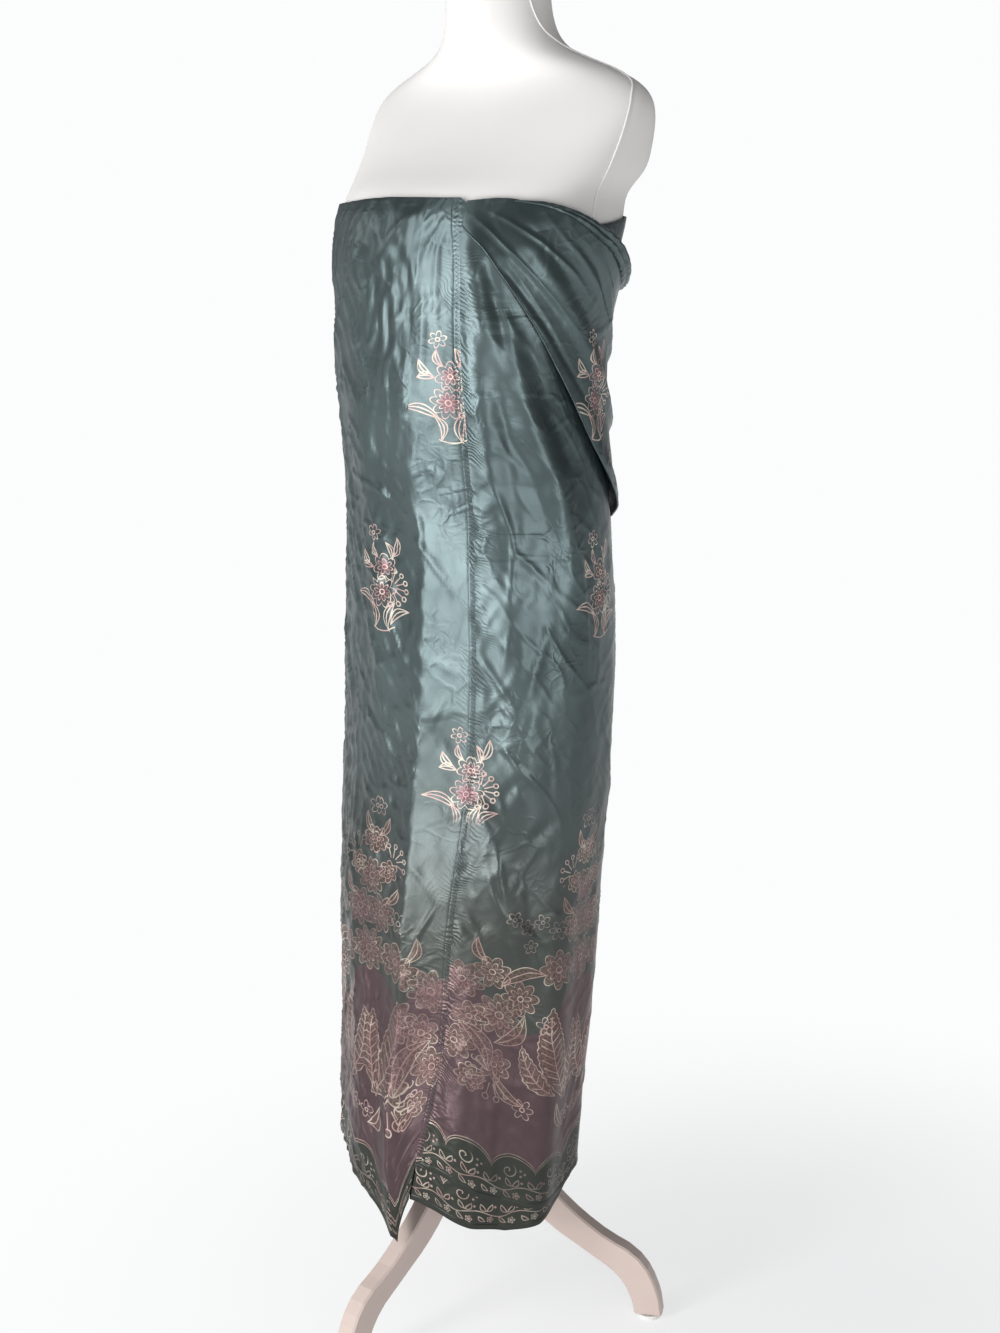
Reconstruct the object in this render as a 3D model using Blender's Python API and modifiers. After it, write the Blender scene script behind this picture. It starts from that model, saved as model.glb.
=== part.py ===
"""A long silk wrap worn round a limbless dress form on a three-legged wooden stand.

Metres, +Z up. The form's front faces -Y and its left side is at +X. The origin is the middle of
the whole object's base. Angles run round the pole in degrees: 0 is the form's left side, -90 its
front, 90 its back and -180 its right side.
"""
import math
from collections import namedtuple

import bmesh
import bpy
from mathutils import Matrix, Vector

# Driving sizes
POLE_Y = 0.0340
CLOTH_WALL = 0.0012
SEAM_GAP = 0.0003
LAYER_GAP = 0.0010
LAP_GAP = 0.0015
SEAM_HEM_GAP = 0.0008
FORM_CLEARANCE = 0.0009
FORM_EASE = 0.0030
FORM_EASE_FADE = 0.080
COVERED_HEIGHT = 1.235
WRAP_END_ANGLE = 168.0
RIGHT_END_ANGLE = -205.0
LAP_START_ANGLE = 138.0
LAP_CLIMB_DEGREES = 14.0
TUCK_ANGLE = -58.0
BODICE_HEIGHT = 1.100
SEAM_HEM_WIDTH = 0.007
SEAM_HEM_COLUMNS = 1
SIDE_HIDDEN = 0.019
SIDE_HIDDEN_DEGREES = 12.0
TUCK_DEGREES = 4.0
BAND_GAP = 0.005
ROLL_REST = 0.0008
SWAG_TOP_SHARPNESS = 3.0
SWAG_FLARE_SHARPNESS = 1.5
BAND_BOTTOM = 1.085
METRES_PER_DEGREE = 0.0023

POLE_RADIUS = 0.0125
POLE_BOTTOM = 0.160
BASE_PLATE_RADIUS = 0.085
BASE_PLATE_THICKNESS = 0.018
HUB_RADIUS = 0.030
HUB_BOTTOM = 0.168
HUB_TOP = 0.232
LEG_THICKNESS = 0.022
LEG_ANGLES = {"leg_front": -90.0, "leg_left": 30.0, "leg_right": 150.0}
GLIDE_RADIUS = 0.0125
GLIDE_HEIGHT = 0.0045
GLIDE_REACH = 0.199
NECK_CAP_THICKNESS = 0.012
NECK_CAP_INSET = 0.0015
TURNED_EDGE = 0.003
LEG_EASED_CORNER = 0.002
SHARP_DEGREES = 50.0

# Steps of each mesh
FRONT_COLUMNS = 24
PLEAT_COLUMN = 21
SKIRT_ROWS = 18
BODICE_ROWS = 7
SIDE_COLUMNS = 38
SIDE_COLUMN_EASE = 1.15
TOP_EDGE_PASSES = 5
SWAG_COLUMNS = 36
SWAG_ROWS = 9
BAND_COLUMNS = 30
BAND_ROWS = 8
ROLL_RINGS = 52
ROLL_SIDES = 10
FORM_SIDES = 48
FORM_RING_STEP = 0.028
ROUND_SIDES = 32

# Section of the wrapped cloth's outer face: depths are measured from the pole
ClothRow = namedtuple("ClothRow", "height centre half_width front back")
CLOTH_SECTIONS = [
    ClothRow(0.100, -0.018, 0.136, 0.131, 0.088),
    ClothRow(0.240, -0.016, 0.140, 0.128, 0.104),
    ClothRow(0.350, -0.012, 0.145, 0.118, 0.115),
    ClothRow(0.480, -0.009, 0.151, 0.117, 0.121),
    ClothRow(0.620, -0.004, 0.157, 0.103, 0.123),
    ClothRow(0.750, 0.000, 0.158, 0.104, 0.130),
    ClothRow(0.800, 0.000, 0.157, 0.105, 0.131),
    ClothRow(0.900, -0.001, 0.153, 0.107, 0.122),
    ClothRow(0.970, -0.002, 0.150, 0.119, 0.111),
    ClothRow(1.040, -0.002, 0.149, 0.130, 0.104),
    ClothRow(1.100, -0.001, 0.151, 0.132, 0.108),
    ClothRow(1.160, 0.000, 0.156, 0.132, 0.127),
    ClothRow(1.200, 0.000, 0.156, 0.123, 0.151),
    ClothRow(1.225, 0.000, 0.152, 0.109, 0.156),
]

# Section of the dress form: front and back are places along Y from the pole, and a squareness of
# 2 is an ellipse
FormRow = namedtuple("FormRow", "height half_width front back squareness")
FORM_SECTIONS = [
    FormRow(0.700, 0.130, -0.075, 0.095, 2.0),
    FormRow(0.712, 0.142, -0.084, 0.108, 2.0),
    FormRow(0.780, 0.152, -0.092, 0.122, 2.0),
    FormRow(0.850, 0.153, -0.093, 0.118, 2.0),
    FormRow(0.920, 0.143, -0.088, 0.096, 2.0),
    FormRow(1.000, 0.120, -0.080, 0.076, 2.0),
    FormRow(1.060, 0.126, -0.092, 0.084, 2.0),
    FormRow(1.120, 0.145, -0.118, 0.110, 2.1),
    FormRow(1.160, 0.160, -0.134, 0.134, 2.2),
    FormRow(1.200, 0.160, -0.130, 0.156, 2.2),
    FormRow(1.225, 0.158, -0.105, 0.156, 2.3),
    FormRow(1.245, 0.162, -0.077, 0.150, 2.35),
    FormRow(1.268, 0.169, -0.051, 0.140, 2.4),
    FormRow(1.290, 0.175, -0.030, 0.130, 2.4),
    FormRow(1.308, 0.177, -0.014, 0.121, 2.3),
    FormRow(1.323, 0.171, -0.003, 0.112, 2.2),
    FormRow(1.337, 0.151, 0.003, 0.104, 2.1),
    FormRow(1.350, 0.116, 0.000, 0.099, 2.0),
    FormRow(1.363, 0.080, -0.008, 0.097, 2.0),
    FormRow(1.380, 0.060, -0.015, 0.094, 2.0),
    FormRow(1.405, 0.054, -0.018, 0.089, 2.0),
    FormRow(1.450, 0.053, -0.017, 0.088, 2.0),
]

# Where each line lies round the body: rows of (height, angle)
SEAM_LINE = [(0.12, -78.0), (0.17, -75.3), (0.225, -71.8), (0.333, -66.7), (0.445, -65.0), (0.60, -62.8),
             (0.744, -61.4), (0.866, -61.0), (1.007, -58.6), (1.103, -59.8), (1.16, -60.8), (1.22, -65.0)]
PLEAT_LINE = [(0.12, -79.8), (0.217, -84.2), (0.274, -86.0), (0.379, -84.0), (0.519, -83.5), (0.607, -84.3),
              (0.711, -81.6), (0.885, -79.0), (0.964, -81.5), (1.02, -79.1), (1.122, -76.2), (1.22, -74.0)]

# Height of each edge round the body: rows of (angle, height)
FRONT_HEM = [(-205, 0.186), (-192, 0.174), (-175, 0.180), (-160, 0.168), (-146, 0.186), (-132, 0.197),
             (-120, 0.187), (-108, 0.172), (-96, 0.159), (-90, 0.147), (-84, 0.131), (-80, 0.121), (-75.3, 0.171)]
FRONT_TOP = [(-205, 1.196), (-180, 1.207), (-150, 1.213), (-126, 1.215), (-110, 1.218), (-94, 1.220), (-65, 1.219)]
SIDE_HEM = [(-75.3, 0.171), (-70, 0.169), (-62, 0.162), (-46, 0.148), (-30, 0.140), (-14, 0.144), (2, 0.160),
            (18, 0.186), (34, 0.190), (52, 0.178), (72, 0.192), (94, 0.178), (118, 0.190), (142, 0.180), (168, 0.188)]
SWAG_EDGE = [(-58.8, 1.193), (-56, 1.186), (-50, 1.172), (-44, 1.152), (-38, 1.132), (-26, 1.088), (-14, 1.038),
             (-2, 0.990), (10, 0.957), (25, 0.928), (45, 0.900), (70, 0.878), (95, 0.880), (118, 0.915),
             (138, 0.985), (154, 1.075), (164, 1.140)]
SWAG_TOP = [(-58.8, 1.216), (-46, 1.2185), (-34, 1.2155), (-27, 1.2107)]
BAND_TOP = [(-27, 1.205), (-15, 1.197), (0, 1.193), (34, 1.200), (70, 1.203), (110, 1.203), (152, 1.200)]

# The rolled top: rows of (angle, height of its middle, radius)
RollRow = namedtuple("RollRow", "angle height radius")
ROLL_LINE = [
    RollRow(-27.0, 1.2135, 0.0022),
    RollRow(-16.0, 1.2040, 0.0040),
    RollRow(-8.0, 1.1955, 0.0052),
    RollRow(0.0, 1.1850, 0.0062),
    RollRow(7.0, 1.1760, 0.0070),
    RollRow(19.0, 1.1570, 0.0072),
    RollRow(30.0, 1.1430, 0.0068),
    RollRow(45.0, 1.1320, 0.0066),
    RollRow(65.0, 1.1300, 0.0068),
    RollRow(90.0, 1.1370, 0.0068),
    RollRow(120.0, 1.1520, 0.0062),
    RollRow(150.0, 1.1690, 0.0045),
    RollRow(160.0, 1.1740, 0.0030),
]
ROLL_STRANDS = 3
ROLL_TWIST_DEGREES = 900.0
ROLL_LOBE = 0.14

# Folds: a half width, and rows of (angle, height, rise) along the crest
Fold = namedtuple("Fold", "half_width crest")
FRONT_FOLDS = {
    "pleat": Fold(0.030, [(-76, 1.15, 0.0), (-79, 1.02, 0.002), (-81.5, 0.964, 0.004), (-79, 0.885, 0.004),
                          (-81.6, 0.711, 0.005), (-84.3, 0.607, 0.006), (-83.5, 0.519, 0.007), (-84, 0.379, 0.009),
                          (-86, 0.274, 0.011), (-84.2, 0.217, 0.012), (-79.8, 0.11, 0.013)]),
    "tuck_gather": Fold(0.016, [(-68, 1.214, 0.0), (-78, 1.196, 0.003), (-92, 1.165, 0.002), (-100, 1.135, 0.0)]),
    "bust_drop": Fold(0.030, [(-112, 1.10, 0.0), (-110, 0.98, 0.004), (-106, 0.82, 0.004), (-104, 0.66, 0.0)]),
    "knee": Fold(0.040, [(-124, 0.62, 0.0), (-120, 0.50, 0.006), (-112, 0.36, 0.006), (-106, 0.22, 0.003),
                         (-104, 0.13, 0.002)]),
    "right_side": Fold(0.030, [(-146, 0.95, 0.0), (-150, 0.70, 0.003), (-148, 0.42, 0.004), (-146, 0.12, 0.005)]),
    "right_back": Fold(0.030, [(-162, 1.05, 0.0), (-164, 0.80, 0.006), (-161, 0.48, 0.010), (-160, 0.12, 0.012)]),
    "back_middle": Fold(0.024, [(-184, 0.98, 0.0), (-182, 0.74, 0.006), (-184, 0.46, 0.009), (-183, 0.12, 0.010)]),
}
SIDE_FOLDS = {
    "seam_side": Fold(0.017, [(-60, 1.17, 0.0), (-56.5, 1.10, 0.004), (-53, 0.977, 0.006), (-51, 0.88, 0.003),
                              (-50, 0.80, 0.0)]),
    "cone": Fold(0.026, [(-52, 1.14, 0.0), (-44, 1.10, 0.004), (-36, 1.05, 0.008), (-29, 1.00, 0.010),
                         (-19, 0.947, 0.009), (-12, 0.86, 0.005), (-8, 0.77, 0.0)]),
    "hip": Fold(0.034, [(-46, 0.90, 0.0), (-42, 0.80, 0.004), (-36, 0.66, 0.005), (-34, 0.52, 0.0)]),
    "crumple": Fold(0.030, [(-50, 0.62, 0.0), (-46, 0.54, 0.006), (-36, 0.47, 0.006), (-28, 0.40, 0.0)]),
    "skirt_front": Fold(0.036, [(-54, 0.48, 0.0), (-52, 0.36, 0.006), (-50, 0.24, 0.008), (-48, 0.12, 0.008)]),
    "skirt_left": Fold(0.040, [(-14, 0.60, 0.0), (-12, 0.42, 0.007), (-14, 0.26, 0.010), (-16, 0.12, 0.011)]),
    "left_side": Fold(0.034, [(22, 0.86, 0.0), (24, 0.62, 0.003), (22, 0.38, 0.004), (20, 0.12, 0.004)]),
    "left_back": Fold(0.032, [(56, 0.84, 0.0), (58, 0.62, 0.007), (54, 0.38, 0.011), (56, 0.12, 0.013)]),
    "back_left": Fold(0.032, [(88, 0.84, 0.0), (90, 0.60, 0.008), (86, 0.36, 0.011), (88, 0.12, 0.013)]),
    "back": Fold(0.030, [(120, 0.88, 0.0), (118, 0.62, 0.007), (122, 0.36, 0.010), (120, 0.12, 0.012)]),
    "lap": Fold(0.024, [(150, 1.00, 0.0), (152, 0.74, 0.004), (148, 0.44, 0.007), (150, 0.12, 0.008)]),
}
SWAG_FOLDS = {
    "upper": Fold(0.016, [(-46, 1.20, 0.0), (-30, 1.165, 0.003), (-14, 1.115, 0.004), (4, 1.060, 0.004),
                          (30, 1.005, 0.004), (60, 0.975, 0.006), (95, 0.985, 0.006), (125, 1.030, 0.005),
                          (150, 1.110, 0.0)]),
    "roll_fan": Fold(0.014, [(10, 1.135, 0.0), (18, 1.100, 0.003), (34, 1.066, 0.004), (60, 1.048, 0.006),
                             (92, 1.052, 0.005), (122, 1.085, 0.004), (146, 1.135, 0.0)]),
    "lip": Fold(0.016, [(-52, 1.180, 0.0), (-32, 1.115, 0.001), (-8, 1.022, 0.002), (10, 0.966, 0.002),
                        (40, 0.915, 0.003), (75, 0.888, 0.005), (100, 0.896, 0.005), (130, 0.962, 0.003),
                        (156, 1.095, 0.0)]),
}

# How far the swag's lower edge stands off what it covers: rows of (angle, gap)
SWAG_STAND_OFF = [(-58.8, 0.0), (-46, 0.0008), (-30, 0.002), (-12, 0.003), (10, 0.004), (45, 0.006), (80, 0.009),
                  (115, 0.009), (145, 0.004), (164, 0.0)]

# The leg's side view: rows of (reach from the pole, height)
LEG_UPPER_EDGE = [(0.0303, 0.224), (0.064, 0.177), (0.103, 0.132), (0.146, 0.097), (0.188, 0.071), (0.209, 0.034)]
LEG_LOWER_EDGE = [(0.181, 0.018), (0.166, 0.047), (0.131, 0.073), (0.083, 0.106), (0.052, 0.139), (0.0303, 0.176)]
LEG_TOE = 0.2145
LEG_HEEL = 0.183

# Colours and finishes: colour, roughness, metallic
FINISHES = {
    "silk": ((0.155, 0.205, 0.205), 0.34, 0.0),
    "jersey": ((0.82, 0.81, 0.80), 0.85, 0.0),
    "painted_wood": ((0.78, 0.71, 0.68), 0.45, 0.0),
    "white_plastic": ((0.86, 0.86, 0.85), 0.35, 0.0),
}


def clear_scene():
    """Remove whatever the file already holds."""
    for thing in list(bpy.data.objects):
        bpy.data.objects.remove(thing, do_unlink=True)


def curve_value(rows, key, column=1):
    """Read a table of rows at a key, on a smooth curve through its points."""
    if key <= rows[0][0]:
        return rows[0][column]
    if key >= rows[-1][0]:
        return rows[-1][column]
    place = next(i for i in range(len(rows) - 1) if key <= rows[i + 1][0])
    before = rows[max(place - 1, 0)]
    low = rows[place]
    high = rows[place + 1]
    after = rows[min(place + 2, len(rows) - 1)]
    span = high[0] - low[0]
    share = (key - low[0]) / span
    slope_low = (high[column] - before[column]) / (high[0] - before[0]) * span
    slope_high = (after[column] - low[column]) / (after[0] - low[0]) * span
    rise = high[column] - low[column]
    bend_low = share * (1 - share) ** 2 * (slope_low - rise)
    bend_high = share ** 2 * (1 - share) * (rise - slope_high)
    return low[column] + rise * share + bend_low + bend_high


def line_value(rows, key, column=1):
    """Read a table of rows at a key, with straight runs between its points."""
    if key <= rows[0][0]:
        return rows[0][column]
    for low, high in zip(rows, rows[1:]):
        if key <= high[0]:
            share = (key - low[0]) / (high[0] - low[0])
            return low[column] + (high[column] - low[column]) * share
    return rows[-1][column]


def cloth_section(height):
    """The oval of the wrapped cloth's outer face at a height."""
    values = [curve_value(CLOTH_SECTIONS, height, column) for column in range(1, 5)]
    return ClothRow(height, *values)


def cloth_point(angle, height, lift=0.0):
    """A point on the cloth's outer face, moved straight out by lift."""
    row = cloth_section(height)
    turn = math.radians(angle)
    depth = row.front if math.sin(turn) < 0 else row.back
    place = Vector((row.half_width * math.cos(turn), depth * math.sin(turn), 0.0))
    outward = Vector((place.x / row.half_width ** 2, place.y / depth ** 2, 0.0)).normalized()
    place += outward * lift
    return Vector((row.centre + place.x, POLE_Y + place.y, height))


def fold_lift(folds, angle, height):
    """How far the folds push the cloth out at a place on it."""
    here = Vector((angle * METRES_PER_DEGREE, height))
    total = 0.0
    for fold in folds.values():
        nearest = None
        for start, end in zip(fold.crest, fold.crest[1:]):
            first = Vector((start[0] * METRES_PER_DEGREE, start[1]))
            run = Vector((end[0] * METRES_PER_DEGREE, end[1])) - first
            share = max(0.0, min(1.0, (here - first).dot(run) / run.length_squared))
            distance = (here - first - run * share).length
            rise = start[2] + (end[2] - start[2]) * share
            if nearest is None or distance < nearest[0]:
                nearest = (distance, rise)
        distance, rise = nearest
        if distance < fold.half_width:
            total += rise * 0.5 * (1 + math.cos(math.pi * distance / fold.half_width))
    return total


def lap_lift(angle):
    """The side stretch climbs over the end of the front stretch at the back."""
    climb = CLOTH_WALL + LAP_GAP
    share = max(0.0, min(1.0, (angle - LAP_START_ANGLE) / LAP_CLIMB_DEGREES))
    return climb * share * share * (3 - 2 * share)


def front_lift(angle, height):
    """Lift of the front stretch's outer face."""
    return fold_lift(FRONT_FOLDS, angle, height)


def side_lift(angle, height):
    """Lift of the side stretch's outer face."""
    lift = fold_lift(SIDE_FOLDS, angle, height)
    if angle > LAP_START_ANGLE:
        lift += lap_lift(angle) + front_lift(angle - 360.0, height)
    return lift


def roll_lift(angle):
    """Lift of the top roll's middle, which lies on the inner stretch."""
    return LAYER_GAP + curve_value(ROLL_LINE, angle, 2) * (1 + ROLL_LOBE)


def swag_top(angle):
    """Height of the swag's upper edge, which runs into the underside of the roll."""
    if angle < ROLL_LINE[0].angle:
        return curve_value(SWAG_TOP, angle)
    radius = curve_value(ROLL_LINE, angle, 2) * (1 + ROLL_LOBE)
    return curve_value(ROLL_LINE, angle) - radius - ROLL_REST


def swag_lift(angle, height):
    """Lift of the swag's outer face: out to the roll at its top, and loose at its lower edge."""
    low = curve_value(SWAG_EDGE, angle)
    high = swag_top(angle)
    drop = max(0.0, min(1.0, (high - height) / (high - low)))
    under = side_lift(angle, height) + CLOTH_WALL + LAYER_GAP
    to_roll = 0.0
    if angle > ROLL_LINE[0].angle:
        to_roll = max(0.0, roll_lift(angle) - under) * (1 - drop) ** SWAG_TOP_SHARPNESS
    loose = curve_value(SWAG_STAND_OFF, angle) * drop ** SWAG_FLARE_SHARPNESS
    return under + to_roll + loose + fold_lift(SWAG_FOLDS, angle, height)


def make_material(name):
    """One finish of the table as a Principled material."""
    colour, roughness, metallic = FINISHES[name]
    material = bpy.data.materials.new(name)
    material.use_nodes = True
    shader = material.node_tree.nodes["Principled BSDF"]
    shader.inputs["Base Color"].default_value = (*colour, 1.0)
    shader.inputs["Roughness"].default_value = roughness
    shader.inputs["Metallic"].default_value = metallic
    return material


def add_object(name, shape, finish, collection):
    """Take a bmesh or a mesh as a named, smooth-shaded object of the part."""
    if isinstance(shape, bmesh.types.BMesh):
        mesh = bpy.data.meshes.new(name)
        shape.to_mesh(mesh)
        shape.free()
    else:
        mesh = shape
    mesh.shade_smooth()
    mesh.set_sharp_from_angle(angle=math.radians(SHARP_DEGREES))
    mesh.materials.append(finish)
    thing = bpy.data.objects.new(name, mesh)
    collection.objects.link(thing)
    return thing


def add_cloth(name, columns, rows, place, finish, collection):
    """Bend a flat grid to the cloth's outer face, then give it a wall on its inner side."""
    sheet = bmesh.new()
    bmesh.ops.create_grid(sheet, x_segments=columns, y_segments=rows, size=0.5)
    for vertex in sheet.verts:
        vertex.co = place(vertex.co.x + 0.5, vertex.co.y + 0.5)
    thing = add_object(name, sheet, finish, collection)
    wall = thing.modifiers.new("wall", "SOLIDIFY")
    wall.thickness = CLOTH_WALL
    wall.offset = -1.0
    return thing


def loft(rings):
    """A closed body through rings of points, with a flat cap at each end."""
    body = bmesh.new()
    loops = [[body.verts.new(point) for point in ring] for ring in rings]
    for lower, upper in zip(loops, loops[1:]):
        for here in range(len(lower)):
            after = (here + 1) % len(lower)
            body.faces.new((lower[here], lower[after], upper[after], upper[here]))
    body.faces.new(list(reversed(loops[0])))
    body.faces.new(loops[-1])
    bmesh.ops.recalc_face_normals(body, faces=body.faces)
    return body


def turned(name, profile, finish, collection):
    """A turned piece: a closed profile of (radius, height) swept round the pole by a Screw."""
    outline = bmesh.new()
    points = [outline.verts.new((radius, 0.0, height)) for radius, height in profile]
    for here, point in enumerate(points):
        outline.edges.new((point, points[(here + 1) % len(points)]))
    thing = add_object(name, outline, finish, collection)
    sweep = thing.modifiers.new("sweep", "SCREW")
    sweep.steps = ROUND_SIDES
    sweep.render_steps = ROUND_SIDES
    sweep.use_merge_vertices = True
    sweep.merge_threshold = 0.00005
    return thing


def row_height(up, bottom, top, split):
    """Height of a row: the skirt's rows end at split, and the bodice has finer ones."""
    skirt_share = SKIRT_ROWS / (SKIRT_ROWS + BODICE_ROWS)
    if up <= skirt_share:
        return bottom + (split - bottom) * up / skirt_share
    return split + (top - split) * (up - skirt_share) / (1 - skirt_share)


def make_front_stretch(finish, collection):
    """The stretch from the front seam round the right side to the back, with the pressed pleat."""
    pleat_share = PLEAT_COLUMN / FRONT_COLUMNS

    def column_angle(across, height):
        pleat = curve_value(PLEAT_LINE, height)
        if across <= pleat_share:
            return RIGHT_END_ANGLE + (pleat - RIGHT_END_ANGLE) * across / pleat_share
        seam = curve_value(SEAM_LINE, height)
        return pleat + (seam - pleat) * (across - pleat_share) / (1 - pleat_share)

    def place(across, up):
        bottom = line_value(FRONT_HEM, column_angle(across, FRONT_HEM[-1][1]))
        top = line_value(FRONT_TOP, column_angle(across, FRONT_TOP[-1][1]))
        height = row_height(up, bottom, top, BODICE_HEIGHT)
        angle = column_angle(across, height)
        return cloth_point(angle, height, front_lift(angle, height))

    add_cloth("front_stretch", FRONT_COLUMNS, SKIRT_ROWS + BODICE_ROWS, place, finish, collection)


def seam_offset(height, distance):
    """The angle at a distance past the seam, towards the left side."""
    return curve_value(SEAM_LINE, height) + distance / METRES_PER_DEGREE


def side_top(angle):
    """The side stretch ends above the swag's lower edge, which hides it, and at the top by the seam."""
    hidden = SIDE_HIDDEN * (1 + max(0.0, min(1.0, (angle - TUCK_ANGLE) / SIDE_HIDDEN_DEGREES)))
    seam_top = FRONT_TOP[-1][1]
    by_seam = max(0.0, min(1.0, (TUCK_ANGLE - angle) / TUCK_DEGREES))
    return (curve_value(SWAG_EDGE, angle) + hidden) * (1 - by_seam) + seam_top * by_seam


def make_side_stretch(finish, collection):
    """The stretch from the front seam round the left side to the lap at the back."""
    seam_bottom = SIDE_HEM[0][1]
    seam_top = FRONT_TOP[-1][1]
    split_share = (BODICE_HEIGHT - seam_bottom) / (seam_top - seam_bottom)

    def column_angle(across, height):
        start = seam_offset(height, SEAM_GAP)
        return start + (WRAP_END_ANGLE - start) * across ** SIDE_COLUMN_EASE

    def place(across, up):
        bottom = line_value(SIDE_HEM, column_angle(across, seam_bottom))
        top = seam_top
        for _ in range(TOP_EDGE_PASSES):
            top = side_top(column_angle(across, top))
        height = row_height(up, bottom, top, bottom + (top - bottom) * split_share)
        angle = column_angle(across, height)
        return cloth_point(angle, height, side_lift(angle, height))

    add_cloth("side_stretch", SIDE_COLUMNS, SKIRT_ROWS + BODICE_ROWS, place, finish, collection)


def make_seam_hem(finish, collection):
    """The narrow turned hem that lies along the seam, over the side stretch's edge."""
    def place(across, up):
        height = row_height(up, SIDE_HEM[0][1], FRONT_TOP[-1][1], BODICE_HEIGHT)
        angle = seam_offset(height, SEAM_GAP + SEAM_HEM_WIDTH * across)
        return cloth_point(angle, height, side_lift(angle, height) + CLOTH_WALL + SEAM_HEM_GAP)

    add_cloth("seam_hem", SEAM_HEM_COLUMNS, SKIRT_ROWS + BODICE_ROWS, place, finish, collection)


def make_swag(finish, collection):
    """The loose outer layer that runs from the front tuck round the left side to the back."""
    def place(across, up):
        first = SWAG_EDGE[0][0]
        last = SWAG_EDGE[-1][0]
        angle = first + (last - first) * across
        bottom = curve_value(SWAG_EDGE, angle)
        top = swag_top(angle)
        height = bottom + (top - bottom) * up
        return cloth_point(angle, height, swag_lift(angle, height))

    add_cloth("swag", SWAG_COLUMNS, SWAG_ROWS, place, finish, collection)


def make_inner_stretch(finish, collection):
    """The first turn of the cloth, which shows as a band above the rolled top."""
    def place(across, up):
        angle = BAND_TOP[0][0] + (BAND_TOP[-1][0] - BAND_TOP[0][0]) * across
        top = curve_value(BAND_TOP, angle)
        bottom = max(side_top(angle) + BAND_GAP, BAND_BOTTOM)
        height = bottom + (top - bottom) * up
        return cloth_point(angle, height)

    add_cloth("inner_stretch", BAND_COLUMNS, BAND_ROWS, place, finish, collection)


def make_top_roll(finish, collection):
    """The swag's upper edge, twisted into a rope of three strands."""
    first = ROLL_LINE[0].angle
    last = ROLL_LINE[-1].angle

    def middle(angle):
        return cloth_point(angle, curve_value(ROLL_LINE, angle), roll_lift(angle))

    rings = []
    for ring in range(ROLL_RINGS + 1):
        share = ring / ROLL_RINGS
        angle = first + (last - first) * share
        centre = middle(angle)
        along = (middle(angle + 0.5) - middle(angle - 0.5)).normalized()
        out = Vector((centre.x, centre.y - POLE_Y, 0.0))
        out = (out - along * out.dot(along)).normalized()
        up = out.cross(along)
        radius = curve_value(ROLL_LINE, angle, 2)
        twist = math.radians(ROLL_TWIST_DEGREES * share)
        points = []
        for side in range(ROLL_SIDES):
            turn = 2 * math.pi * side / ROLL_SIDES
            reach = radius * (1 + ROLL_LOBE * math.cos(ROLL_STRANDS * turn + twist))
            points.append(centre + (out * math.cos(turn) + up * math.sin(turn)) * reach)
        rings.append(points)
    add_object("top_roll", loft(rings), finish, collection)


def held_inside_cloth(point):
    """Draw a point of the form in to just inside the cloth, if it lies further out."""
    row = cloth_section(point.z)
    middle = Vector((row.centre, POLE_Y, point.z))
    spoke = point - middle
    depth = row.front if spoke.y < 0 else row.back
    below = max(0.0, min(1.0, (BODICE_HEIGHT - point.z) / FORM_EASE_FADE))
    inset = CLOTH_WALL + FORM_CLEARANCE + (FORM_EASE - FORM_CLEARANCE) * below
    reach = math.hypot(spoke.x / (row.half_width - inset), spoke.y / (depth - inset))
    return middle + spoke / max(1.0, reach)


def form_ring(height):
    """A section of the dress form, held just inside the cloth where the cloth lies on it."""
    half_width, front, back, squareness = [curve_value(FORM_SECTIONS, height, column) for column in range(1, 5)]
    ring = []
    for side in range(FORM_SIDES):
        turn = 2 * math.pi * side / FORM_SIDES
        across = math.copysign(abs(math.cos(turn)) ** (2 / squareness), math.cos(turn))
        along = math.copysign(abs(math.sin(turn)) ** (2 / squareness), math.sin(turn))
        middle_y = POLE_Y + (front + back) / 2
        point = Vector((half_width * across, middle_y + (back - front) / 2 * along, height))
        if height < COVERED_HEIGHT:
            point = held_inside_cloth(point)
        ring.append(point)
    return ring


def make_form(finish, cap_finish, collection):
    """The padded torso with its neck, and the plain cap that closes the neck."""
    heights = []
    for low, high in zip(FORM_SECTIONS, FORM_SECTIONS[1:]):
        steps = max(1, round((high.height - low.height) / FORM_RING_STEP))
        heights += [low.height + (high.height - low.height) * step / steps for step in range(steps)]
    heights.append(FORM_SECTIONS[-1].height)
    add_object("form_torso", loft([form_ring(height) for height in heights]), finish, collection)

    neck = FORM_SECTIONS[-1]
    radius = min(neck.half_width, (neck.back - neck.front) / 2) - NECK_CAP_INSET
    base = neck.height + SEAM_GAP
    profile = [
        (0.0, base + NECK_CAP_THICKNESS),
        (radius - TURNED_EDGE, base + NECK_CAP_THICKNESS),
        (radius, base + NECK_CAP_THICKNESS - TURNED_EDGE),
        (radius, base),
        (0.0, base),
    ]
    cap = turned("neck_cap", profile, cap_finish, collection)
    cap.location = (0.0, POLE_Y + (neck.front + neck.back) / 2, 0.0)


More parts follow.
